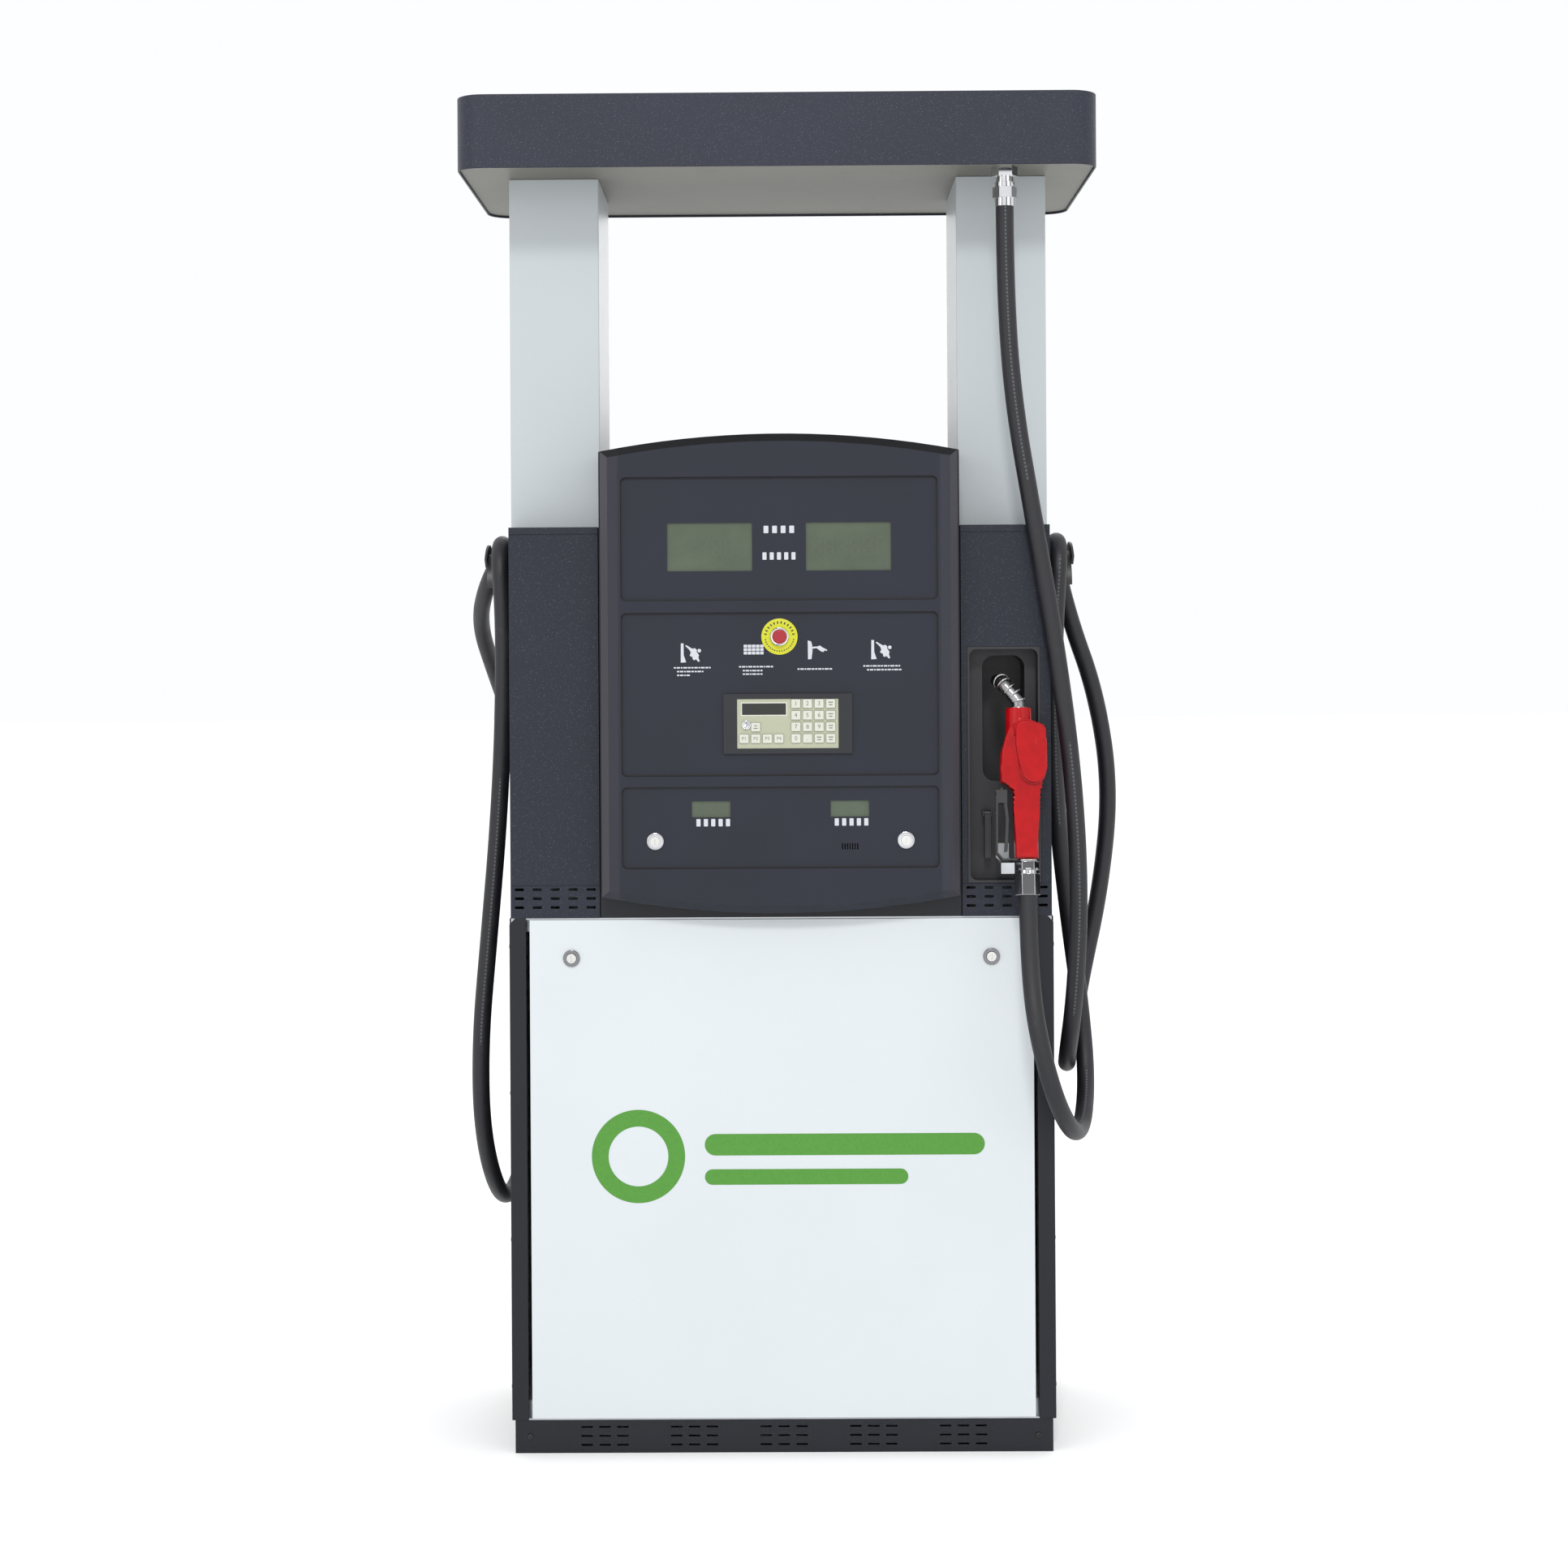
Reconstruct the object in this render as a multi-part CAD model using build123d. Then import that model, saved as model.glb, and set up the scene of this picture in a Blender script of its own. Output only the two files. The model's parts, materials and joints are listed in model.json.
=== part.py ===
from build123d import *
import math
import os

# Two-sided fuel dispenser with one hose and nozzle on each side.
# Origin: bottom centre of the base. +Z up, the front side faces -Y. Millimetres.
# The rear side is the front side turned half a turn about Z.

# ---------------------------------------------------------------- driving sizes
CABINET_W = 910.0
CABINET_D = 428.0
CABINET_TOP = 896.0
OVERALL_H = 2264.0
SHEET = 2.5
GAP = 0.4
RUN_FIT = 0.1
SEAT_GAP = 0.3

PLINTH_H = 56.0
PLINTH_INSET_X, PLINTH_INSET_Y = 5.0, 4.0
PLINTH_WALL = 4.0
FLANGE_W, FLANGE_T = 60.0, 5.0
ANCHOR_R = 7.0
ANCHOR_INSET_X, ANCHOR_INSET_Y = 70.0, 40.0
PLINTH_SLOT_W, PLINTH_SLOT_H = 19.0, 3.2
PLINTH_SLOT_PITCH, PLINTH_GROUP_PITCH = 30.0, 150.0
PLINTH_SLOT_ROWS = (13.5, 28.5, 43.5)
POST_W, POST_D, POST_WALL = 24.0, 30.0, 2.0
RAIL_T, RAIL_H = 20.0, 24.0

SIDE_FLANGE = 28.0
DOOR_SIDE_GAP = 6.0
DOOR_T = 20.0
DOOR_WALL = 2.0
DOOR_GAP = 3.0
DOOR_LOCK_INSET, DOOR_LOCK_DROP = 70.0, 67.0
LOCK_RING_R = 14.0
LOCK_BARREL_R = 11.0
LOCK_PLUG_R = 8.0
LOCK_FACE_T = 3.0
LOCK_DEPTH = 14.0
CAM_W, CAM_T = 12.0, 2.5
DOOR_CAM, BEZEL_CAM = 34.0, 18.0
KEY_SLOT_W, KEY_SLOT_H = 2.0, 10.0

COWL_TOP = 1550.0
COWL_SLOT_W, COWL_SLOT_H, COWL_SLOT_PITCH = 15.0, 4.4, 30.0
COWL_SLOT_ROWS = (18.0, 33.0, 48.0)
COWL_GROOVES = (54.5, 642.0)
GROOVE_H, GROOVE_T = 1.6, 1.0
COLUMN_D = 264.0
COLUMN_WALL = 3.0
COLUMN_POST_INSET_IN, COLUMN_POST_INSET_OUT = 19.0, 15.0
COLUMN_POST_D = 150.0

CANOPY_OVER_X, CANOPY_OVER_Y = 77.0, 56.0
CANOPY_H = 122.0
CANOPY_R = 46.0
CANOPY_WALL = 3.0
UNDERSIDE_RISE = 4.0
LEDGE_W, LEDGE_D, LEDGE_T = 17.0, 300.0, 3.0

BEZEL_W = 594.0
BEZEL_T = 45.0
BEZEL_BOTTOM, BEZEL_TOP = 934.0, 1674.0
BEZEL_RISE = 28.0
BEZEL_WALL = 3.0
BEZEL_EDGE = 13.0
BEZEL_SKIN = 7.0
BEZEL_LIP = 8.0
BEZEL_BACK_GAP = 2.0
COWL_CLEAR = 6.0
RECESS_INSET = 34.5
RECESS_T = 5.0
RECESS_CORNER = 9.0
RECESSES = [(1425.0, 1630.0), (1134.5, 1405.5), (981.5, 1117.0)]
HEAD_SIDE_GAP, HEAD_BACK_GAP = 1.5, 2.0
HEAD_WALL = 2.0
HEAD_FLOOR_T = 3.0
HEAD_RISE = 2.0
HEAD_LIP_H = 42.0
HINGE_RISE = 16.0
HINGE_X = 60.0
HINGE_PIN_R = 4.0
HINGE_PIN_HALF = 26.0
HINGE_KNUCKLE_R = 8.0
HINGE_KNUCKLE_X, HINGE_KNUCKLE_W = 14.0, 12.0
HINGE_EAR_W, HINGE_EAR_LEN = 6.0, 30.0
HINGE_FOOT_W = 24.0
HINGE_POCKET_D = 16.0

LCD_W, LCD_H, LCD_X, LCD_Z = 141.0, 80.0, 115.0, 1514.0
PRICE_W, PRICE_H, PRICE_Z = 64.0, 27.0, 1079.5
GLASS_T = 3.0
GLASS_LAP = 5.0
LCD_BOARD_W, LCD_BOARD_H = 400.0, 110.0
PRICE_BOARD_W, PRICE_BOARD_H, PRICE_BOARD_RISE = 330.0, 48.0, 4.0
BOARD_T = 6.0
BEZEL_LOCK_INSET, BEZEL_LOCK_Z = 54.9, 1027.0
GRILLE_X, GRILLE_Z = 115.0, 1017.0
GRILLE_SLOTS, GRILLE_PITCH, GRILLE_SLOT_W, GRILLE_SLOT_H = 7, 4.2, 2.0, 10.0
STOP_Z = 1365.0
STOP_BUTTON_R = 12.0
STOP_RING_R, STOP_RING_WALL, STOP_RING_T = 15.0, 2.0, 6.0
STOP_PROUD, STOP_SLEEVE, STOP_ROUND = 13.0, 8.0, 3.0
PAD_X, PAD_Z, PAD_W, PAD_H = 13.0, 1221.0, 213.0, 99.0
PAD_PLATE_W, PAD_PLATE_H = 168.0, 82.0
PAD_PROUD = 5.0
PAD_SEAT = 6.0
PAD_BACK = 10.0
PAD_PLATE_T = 3.0
PAD_PLATE_SINK = 1.0
KEY_W, KEY_H = 15.0, 14.5
KEY_PROUD = 1.5
KEY_PITCH = 19.2
KEY_GRID_DX, KEY_GRID_DZ = 3.8, 33.0
KEY_PRESET_GAP = 9.0
KEY_WEB_T = 2.0

BOOT_X, BOOT_W = 374.0, 114.0
BOOT_BOTTOM, BOOT_TOP = 956.0, 1342.0
BOOT_DEPTH = 38.0
BOOT_WALL = 4.0
BOOT_CORNER = 12.0
POCKET_LEFT, POCKET_RIGHT = 33.0, 38.0
POCKET_Z0, POCKET_Z1 = 1120.0, 1331.0
POCKET_DEPTH = 112.0
POCKET_CORNER = 20.0
BRACKET_DX, BRACKET_W, BRACKET_T = -1.0, 22.0, 3.0
BRACKET_LUG, BRACKET_TOE = 24.0, 18.0
SWITCH_DX, SWITCH_DY, SWITCH_Z = -27.0, 25.0, 1066.0
SWITCH_W = 10.0
SWITCH_OUT, SWITCH_IN, SWITCH_LEN = 13.0, 5.0, 74.0
SWITCH_BARREL_R = 5.0
SWITCH_PIN_R = 2.0
SWITCH_EAR_T = 3.0

NOZZLE_DX, NOZZLE_OUT, NOZZLE_Z = 30.0, 36.0, 1172.0
NOZZLE_LEAN = 8.0
NOZZLE_T = 38.0
NOZZLE_ROUND, NOZZLE_CHAMFER = 6.0, 4.0
PAD_FACE_W, PAD_FACE_H, PAD_FACE_T = 50.0, 78.0, 5.0
SPOUT_X = -8.0
SPOUT_R = 10.5
SPOUT_WALL = 2.0
SPOUT_COLLAR_R, SPOUT_COLLAR_TOP = 21.0, 72.0
SPOUT_SOCKET = 45.0
HANDLE_BOTTOM = 178.0
GUARD_BOTTOM = 180.5
GUARD_W, GUARD_T = 26.0, 3.0
LEVER_W, LEVER_T = 16.0, 5.0
LEVER_PIVOT = (-33.0, -82.0)
LEVER_PIN_R = 2.0
SWIVEL_X = 2.0
SWIVEL_GRIP = 4.0
SWIVEL_NUT_H = 14.0
SWIVEL_LEN = 41.0
SWIVEL_DROP = 18.0
SWIVEL_NECK_R, SWIVEL_BARREL_R = 12.0, 14.0

HOSE_R = 15.0
FERRULE_WALL = 2.0
FERRULE_DROP = 62.0
FERRULE_SLEEVE_H = 14.0
OUTLET_X, OUTLET_OUT = 380.0, 4.0
OUTLET_NUT_R, OUTLET_NUT_H = 19.0, 16.0
OUTLET_COLLAR_H, OUTLET_RING_H = 10.0, 8.0

HOOK_W = 50.0
HOOK_R = 60.0
HOOK_T = 5.0
HOOK_FIT = 2.0
HOSE_REST_Z = 1529.0
HOOK_LIP_T, HOOK_LIP = 4.0, 16.0
HOOK_PLATE_DROP = 30.0
HOOK_LIP_ANGLE = 50.0

MOTOR_R, MOTOR_LEN = 95.0, 250.0
MOTOR_X, MOTOR_Z = -230.0, 240.0
MOTOR_BACKSET = 20.0
PUMP_X, PUMP_Z = 120.0, 250.0
PUMP_W, PUMP_D, PUMP_H = 240.0, 190.0, 260.0
PUMP_CHAMFER = 18.0
PUMP_BOSS_R, PUMP_BOSS_H = 34.0, 18.0
BOWL_R, BOWL_H = 42.0, 70.0
SHAFT_R = 10.0
SHAFT_PAST = 6.0
SHAFT_FIT = 0.05
MOTOR_PULLEY_R, PUMP_PULLEY_R = 40.0, 90.0
PULLEY_W = 22.0
PULLEY_Y = -140.0
PULLEY_RIM_T, PULLEY_RIM_OVER = 2.0, 3.0
BELT_T = 6.0
METER_R, METER_H = 60.0, 130.0
METER_X, METER_Z = 160.0, 560.0
METER_FLANGE, METER_FLANGE_H = 12.0, 14.0
METER_NECK_R, METER_NECK_H = 24.0, 36.0
BEAM_D, BEAM_T, BEAM_INSET = 72.0, 12.0, 40.0
PIPE_R = 14.0
PIPE_BEND = 28.0
PIPE_TURN_H = 64.0
RISER_TOP = 50.0
FEED_BEND = 20.0
FEED_TURN_Z = 470.0
FEED_DX = -60.0
INLET_R, INLET_WALL = 20.0, 4.0
INLET_BOTTOM = 20.0
INLET_HOLE_FIT = 2.0

# ---------------------------------------------------------------- derived sizes
HALF_W = CABINET_W / 2
FRONT = -CABINET_D / 2
PLINTH_W = CABINET_W - 2 * PLINTH_INSET_X
PLINTH_D = CABINET_D - 2 * PLINTH_INSET_Y
DOOR_W = CABINET_W - 2 * (SIDE_FLANGE + DOOR_SIDE_GAP)
DOOR_LOCK_X = DOOR_W / 2 - DOOR_LOCK_INSET
DOOR_LOCK_Z = CABINET_TOP - DOOR_LOCK_DROP
COWL_IN = BEZEL_W / 2 + COWL_CLEAR
COWL_OUT = HALF_W - SHEET
POST_IN = COWL_IN + COLUMN_POST_INSET_IN
POST_OUT = HALF_W - COLUMN_POST_INSET_OUT
CANOPY_W = CABINET_W + 2 * CANOPY_OVER_X
CANOPY_D = CABINET_D + 2 * CANOPY_OVER_Y
CANOPY_BOTTOM = OVERALL_H - CANOPY_H
UNDER = CANOPY_BOTTOM + UNDERSIDE_RISE
BEZEL_BACK = FRONT - BEZEL_BACK_GAP
BEZEL_FRONT = BEZEL_BACK - BEZEL_T
RECESS_W = BEZEL_W - 2 * RECESS_INSET
RECESS_FLOOR = BEZEL_FRONT + RECESS_T
WALL_BACK = RECESS_FLOOR + BEZEL_WALL
BEZEL_LOCK_X = RECESS_W / 2 - BEZEL_LOCK_INSET
HEAD_X = COWL_IN - HEAD_SIDE_GAP
HEAD_Y = -FRONT - HEAD_BACK_GAP
HEAD_TOP = BEZEL_TOP + HEAD_RISE
HINGE_Z = HEAD_TOP + HINGE_RISE
KEY_GRID_X, KEY_GRID_Z = PAD_X + KEY_GRID_DX, PAD_Z + KEY_GRID_DZ
NOZZLE_X, NOZZLE_Y = BOOT_X + NOZZLE_DX, FRONT - NOZZLE_OUT
SWITCH_X, SWITCH_Y = BOOT_X + SWITCH_DX, FRONT + SWITCH_DY
SWIVEL_TOP = -HANDLE_BOTTOM - SWIVEL_DROP
SWIVEL_AF = 2 * HOSE_R + SWIVEL_GRIP
OUTLET_Y = FRONT - OUTLET_OUT
FERRULE_BOTTOM = CANOPY_BOTTOM - FERRULE_DROP
HOOK_X0 = HALF_W + 1.0
HOOK_X1 = HOOK_X0 + HOOK_W
HOOK_Z = HOSE_REST_Z - HOSE_R - HOOK_FIT - HOOK_R
os.makedirs("parts", exist_ok=True)


# ---------------------------------------------------------------- helpers
def block(x0, x1, y0, y1, z0, z1):
    return Pos((x0 + x1) / 2, (y0 + y1) / 2, (z0 + z1) / 2) * Box(x1 - x0, y1 - y0, z1 - z0)


def rod_z(r, x, y, z0, z1):
    return Pos(x, y, (z0 + z1) / 2) * Cylinder(r, z1 - z0)


def rod_y(r, x, z, y0, y1):
    return Pos(x, (y0 + y1) / 2, z) * Rot(90, 0, 0) * Cylinder(r, y1 - y0)


def rod_x(r, y, z, x0, x1):
    return Pos((x0 + x1) / 2, y, z) * Rot(0, 90, 0) * Cylinder(r, x1 - x0)


def slab(sketch, y_front, y_back):
    """A sketch drawn as (x, z), made solid between two depths."""
    return extrude(Plane.XZ.offset(-y_back) * sketch, y_back - y_front)


def rear(shape):
    return Rot(0, 0, 180) * shape


def mirror_x(shape):
    return mirror(shape, about=Plane.YZ)


def save(node, *shapes):
    solids = []
    for shape in shapes:
        solids.extend(shape.solids())
    export_step(Compound(label=node, children=solids), f"parts/{node}.step")


def save_pair(node, *shapes):
    save("front_" + node, *shapes)
    save("rear_" + node, *[rear(shape) for shape in shapes])


def box_tube(x0, x1, y0, y1, z0, z1, wall):
    outer = block(x0, x1, y0, y1, z0, z1)
    return outer - block(x0 + wall, x1 - wall, y0 + wall, y1 - wall, z0 - 1, z1 + 1)


def pipe(points, radius, bend):
    path = FilletPolyline(*points, radius=bend)
    start = Plane(origin=path @ 0, z_dir=path % 0)
    return sweep(start * Circle(radius), path=path)


# ---------------------------------------------------------------- base and cabinet
def base_plinth():
    hx, hy = PLINTH_W / 2, PLINTH_D / 2
    body = box_tube(-hx, hx, -hy, hy, 0, PLINTH_H, PLINTH_WALL)
    for z0 in (0, PLINTH_H - FLANGE_T):
        ring = block(-hx, hx, -hy, hy, z0, z0 + FLANGE_T)
        inner_x, inner_y = hx - FLANGE_W, hy - FLANGE_W
        body += ring - block(-inner_x, inner_x, -inner_y, inner_y, z0 - 1, z0 + FLANGE_T + 1)
    for sx in (-1, 1):
        for sy in (-1, 1):
            x, y = sx * (hx - ANCHOR_INSET_X), sy * (hy - ANCHOR_INSET_Y)
            body -= rod_z(ANCHOR_R, x, y, -1, FLANGE_T + 1)
    slots = []
    for group in range(5):
        for column in range(3):
            x = (group - 2) * PLINTH_GROUP_PITCH + (column - 1) * PLINTH_SLOT_PITCH
            for z in PLINTH_SLOT_ROWS:
                for y in (-hy, hy):
                    slots.append(Pos(x, y, z) * Box(PLINTH_SLOT_W, 2 * PLINTH_WALL + 2, PLINTH_SLOT_H))
    return body - slots


def cabinet_frame():
    pieces = []
    inner = HALF_W - SHEET - GAP
    depth = -FRONT - SHEET - GAP
    for sx in (-1, 1):
        for sy in (-1, 1):
            x = sorted((sx * inner, sx * (inner - POST_W)))
            y = sorted((sy * depth, sy * (depth - POST_D)))
            pieces.append(box_tube(*x, *y, PLINTH_H + SHEET, CABINET_TOP - SHEET, POST_WALL))
    pieces.append(block(-inner, inner, -depth, depth, PLINTH_H, PLINTH_H + SHEET)
                  - rod_z(INLET_R + INLET_WALL + INLET_HOLE_FIT, PUMP_X, 0, 0, PLINTH_H + 10))
    deck = block(-inner, inner, -depth, depth, CABINET_TOP - SHEET, CABINET_TOP)
    for sx in (-1, 1):
        deck -= rod_z(PIPE_R + INLET_WALL, sx * OUTLET_X, 0, CABINET_TOP - 10, CABINET_TOP + 10)
    pieces.append(deck)
    rail_y = depth - POST_D - 4
    reach = inner - POST_W
    for sy in (-1, 1):
        y = sorted((sy * rail_y, sy * (rail_y - RAIL_T)))
        pieces.append(block(-reach, reach, *y, CABINET_TOP - RAIL_H - 2, CABINET_TOP - SHEET))
        pieces.append(block(-reach, reach, *y, PLINTH_H + SHEET, PLINTH_H + RAIL_H))
    return pieces


def side_panel():
    """Right-hand outer skin with a folded flange at the front and at the rear."""
    outer = block(HALF_W - SIDE_FLANGE, HALF_W, FRONT, -FRONT, PLINTH_H, CABINET_TOP)
    hollow = block(0, HALF_W - SHEET, FRONT + SHEET, -FRONT - SHEET, 0, CABINET_TOP + 1)
    panel = outer - hollow
    corner = Pos(HALF_W, FRONT, CABINET_TOP) * Rot(0, 45, 0) * Box(14, 4 * SHEET, 14)
    return panel - corner - Pos(0, -2 * FRONT, 0) * corner


def door():
    z0, z1 = PLINTH_H + DOOR_GAP, CABINET_TOP - DOOR_GAP
    hw = DOOR_W / 2
    y1 = FRONT + DOOR_T
    outer = block(-hw, hw, FRONT, y1, z0, z1)
    wall = DOOR_WALL
    pan = outer - block(-hw + wall, hw - wall, FRONT + wall, y1 + 1, z0 + wall, z1 - wall)
    for sx in (-1, 1):
        pan -= rod_y(LOCK_BARREL_R, sx * DOOR_LOCK_X, DOOR_LOCK_Z, FRONT - 1, FRONT + wall + 1)
    barrels = []
    for sx in (-1, 1):
        x = sx * DOOR_LOCK_X
        barrels.append(lock_barrel(x, DOOR_LOCK_Z, FRONT, FRONT + BEZEL_WALL + LOCK_DEPTH))
    return pan, barrels


def lock_barrel(x, z, face, end):
    """Flanged sleeve through a panel whose outer face is at face."""
    flange = rod_y(LOCK_RING_R, x, z, face - LOCK_FACE_T, face)
    barrel = rod_y(LOCK_BARREL_R, x, z, face - LOCK_FACE_T, end)
    return flange + barrel - rod_y(LOCK_PLUG_R + RUN_FIT, x, z, face - LOCK_FACE_T - 1, end + 1)


def lock_plug(x, z, face, barrel_end, cam_up):
    """Key plug with its slot at the face and a locking cam behind the barrel."""
    plug = rod_y(LOCK_PLUG_R, x, z, face - LOCK_FACE_T - CAM_T, barrel_end + LOCK_FACE_T)
    plug -= Pos(x, face - LOCK_FACE_T - 1, z) * Box(KEY_SLOT_W, 4, KEY_SLOT_H)
    cam = block(x - CAM_W / 2, x + CAM_W / 2, barrel_end + LOCK_FACE_T - CAM_T, barrel_end + LOCK_FACE_T,
                z - LOCK_PLUG_R, z - LOCK_PLUG_R + cam_up)
    return plug + cam


# ---------------------------------------------------------------- head and columns
def column():
    hy = COLUMN_D / 2
    post_y = COLUMN_POST_D / 2
    wall = COLUMN_WALL
    outer_x = HALF_W + 1
    shell = box_tube(COWL_IN + 1, outer_x, -hy, hy, COWL_TOP, UNDER, wall)
    post = box_tube(POST_IN, POST_OUT, -post_y, post_y, CABINET_TOP, COWL_TOP, wall)
    foot = block(COWL_IN + 1, outer_x, -hy, hy, COWL_TOP, COWL_TOP + wall)
    foot -= block(POST_IN + wall, POST_OUT - wall, wall - post_y, post_y - wall, COWL_TOP - 1,
                  COWL_TOP + wall + 1)
    return shell + post + foot


def cowl(boot_front):
    """Right-hand cowl: hollow box open below, round the column post."""
    body = block(COWL_IN, COWL_OUT, FRONT, -FRONT, CABINET_TOP, COWL_TOP)
    body -= block(COWL_IN + SHEET, COWL_OUT - SHEET, FRONT + SHEET, -FRONT - SHEET,
                  CABINET_TOP - 1, COWL_TOP - SHEET)
    body -= block(POST_IN - GAP, POST_OUT + GAP, -COLUMN_POST_D / 2 - GAP,
                  COLUMN_POST_D / 2 + GAP, COWL_TOP - 10, COWL_TOP + 1)
    cuts = []
    for side in (-1, 1):
        y0, y1 = sorted((side * (-FRONT + 1), side * (-FRONT - SHEET - 1)))
        for column_index in range(5):
            x = (COWL_IN + COWL_OUT) / 2 + (column_index - 2) * COWL_SLOT_PITCH
            for rise in COWL_SLOT_ROWS:
                z = CABINET_TOP + rise
                cuts.append(block(x - COWL_SLOT_W / 2, x + COWL_SLOT_W / 2, y0, y1,
                                  z - COWL_SLOT_H / 2, z + COWL_SLOT_H / 2))
        groove_y = sorted((side * (-FRONT + 1), side * (-FRONT - GROOVE_T)))
        for rise in COWL_GROOVES:
            z = CABINET_TOP + rise
            cuts.append(block(COWL_IN - 1, COWL_OUT + 1, *groove_y, z - GROOVE_H / 2, z + GROOVE_H / 2))
    body -= cuts
    side = 1 if boot_front else -1
    y0, y1 = sorted((side * (FRONT - 1), side * (FRONT + SHEET + 1)))
    edge = BOOT_WALL + GAP
    body -= block(BOOT_X - BOOT_W / 2 - edge, BOOT_X + BOOT_W / 2 + edge, y0, y1,
                  BOOT_BOTTOM - edge, BOOT_TOP + edge)
    return body


def nozzle_boot():
    hw = BOOT_W / 2
    height = BOOT_TOP - BOOT_BOTTOM
    centre = Pos(BOOT_X, (BOOT_TOP + BOOT_BOTTOM) / 2)
    outside = slab(centre * Rectangle(BOOT_W + 2 * BOOT_WALL, height + 2 * BOOT_WALL),
                   FRONT, FRONT + BOOT_DEPTH + BOOT_WALL)
    inside = slab(centre * RectangleRounded(BOOT_W, height, BOOT_CORNER), FRONT - 1, FRONT + BOOT_DEPTH)
    pocket_w, pocket_h = POCKET_LEFT + POCKET_RIGHT, POCKET_Z1 - POCKET_Z0
    middle = Pos(BOOT_X + (POCKET_RIGHT - POCKET_LEFT) / 2, (POCKET_Z0 + POCKET_Z1) / 2)
    outside += slab(middle * Rectangle(pocket_w + 2 * BOOT_WALL, pocket_h + 2 * BOOT_WALL),
                    FRONT + BOOT_DEPTH, FRONT + POCKET_DEPTH + BOOT_WALL)
    cavity = slab(middle * RectangleRounded(pocket_w, pocket_h, POCKET_CORNER), FRONT, FRONT + POCKET_DEPTH)
    tub = outside - inside - cavity
    lean = math.radians(NOZZLE_LEAN)
    shelf_z = NOZZLE_Z - GUARD_BOTTOM * math.cos(lean) - GUARD_W / 2 * math.sin(lean) - SEAT_GAP
    reach = NOZZLE_Y - GUARD_BOTTOM * math.sin(lean) - GUARD_W / 2 - 1
    bx0 = BOOT_X + BRACKET_DX - BRACKET_W / 2
    bx1 = bx0 + BRACKET_W
    back = FRONT + BOOT_DEPTH
    shelf = block(bx0, bx1, reach, back, shelf_z - BRACKET_T, shelf_z)
    lug = block(bx0, bx1, back - BRACKET_T, back, shelf_z - BRACKET_T, shelf_z + BRACKET_LUG)
    toe = block(bx0, bx1, reach, reach + BRACKET_T, shelf_z - BRACKET_TOE, shelf_z)
    return tub, shelf + lug + toe


def boot_switch():
    """Flap beside the guard that senses the hung nozzle; it hinges at its top end."""
    x0, x1 = SWITCH_X - SWITCH_W / 2, SWITCH_X + SWITCH_W / 2
    flap = block(x0, x1, SWITCH_Y - SWITCH_OUT, SWITCH_Y + SWITCH_IN, SWITCH_Z - SWITCH_LEN, SWITCH_Z)
    barrel = rod_x(SWITCH_BARREL_R, SWITCH_Y, SWITCH_Z, x0, x1)
    return flap + barrel - rod_x(SWITCH_PIN_R + RUN_FIT, SWITCH_Y, SWITCH_Z, x0 - 1, x1 + 1)


def switch_bearing():
    """Two ears on the boot's back wall, with the pin that carries the flap."""
    half = SWITCH_W / 2 + SEAT_GAP
    ears = rod_x(SWITCH_PIN_R, SWITCH_Y, SWITCH_Z, SWITCH_X - half - 2, SWITCH_X + half + 2)
    for sx in (-1, 1):
        x = sorted((SWITCH_X + sx * half, SWITCH_X + sx * (half + SWITCH_EAR_T)))
        ears += block(*x, SWITCH_Y - SWITCH_BARREL_R, FRONT + BOOT_DEPTH, SWITCH_Z - SWITCH_BARREL_R,
                      SWITCH_Z + SWITCH_BARREL_R)
    return ears


def head_box():
    """Six sheet panels, open to both displays, and the four hinge brackets on the roof."""
    x, y = HEAD_X, HEAD_Y
    side = block(x - HEAD_WALL, x, -y, y, CABINET_TOP + HEAD_FLOOR_T, HEAD_TOP - HEAD_WALL)
    floor = block(-x, x, -y, y, CABINET_TOP, CABINET_TOP + HEAD_FLOOR_T)
    roof = block(-x, x, -y, y, HEAD_TOP - HEAD_WALL, HEAD_TOP)
    lip = block(HEAD_WALL - x, x - HEAD_WALL, -y, HEAD_WALL - y, CABINET_TOP + HEAD_FLOOR_T,
                CABINET_TOP + HEAD_LIP_H)
    brackets = [bracket for sx in (-1, 1) for bracket in (hinge_bracket(sx), rear(hinge_bracket(sx)))]
    return [side, mirror_x(side), floor, roof, lip, rear(lip), *brackets]


def hinge_bracket(sx):
    """Foot on the roof, an ear in front of it and the pin through the ear."""
    x = sx * HINGE_X
    back = -HEAD_Y + HINGE_EAR_LEN
    foot = block(x - HINGE_FOOT_W / 2, x + HINGE_FOOT_W / 2, -HEAD_Y, back, HEAD_TOP, HEAD_TOP + HEAD_WALL)
    ear = block(x - HINGE_EAR_W / 2, x + HINGE_EAR_W / 2, FRONT - SEAT_GAP, back, HEAD_TOP,
                HINGE_Z + HINGE_KNUCKLE_R)
    ear += rod_x(HINGE_PIN_R, FRONT, HINGE_Z, x - HINGE_PIN_HALF, x + HINGE_PIN_HALF)
    return foot + ear


def control_boards():
    cage = box_tube(-150, 150, -70, 70, CABINET_TOP + 3, CABINET_TOP + 303, 2)
    boards = [block(-120 + 60 * n, -118 + 60 * n, SEAT_GAP - 68, 68 - SEAT_GAP, CABINET_TOP + 5,
                    CABINET_TOP + 280)
              for n in range(5)]
    supply = block(160, 280, -60, 60, CABINET_TOP + 3, CABINET_TOP + 140)
    return [cage, *boards, supply]


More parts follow.
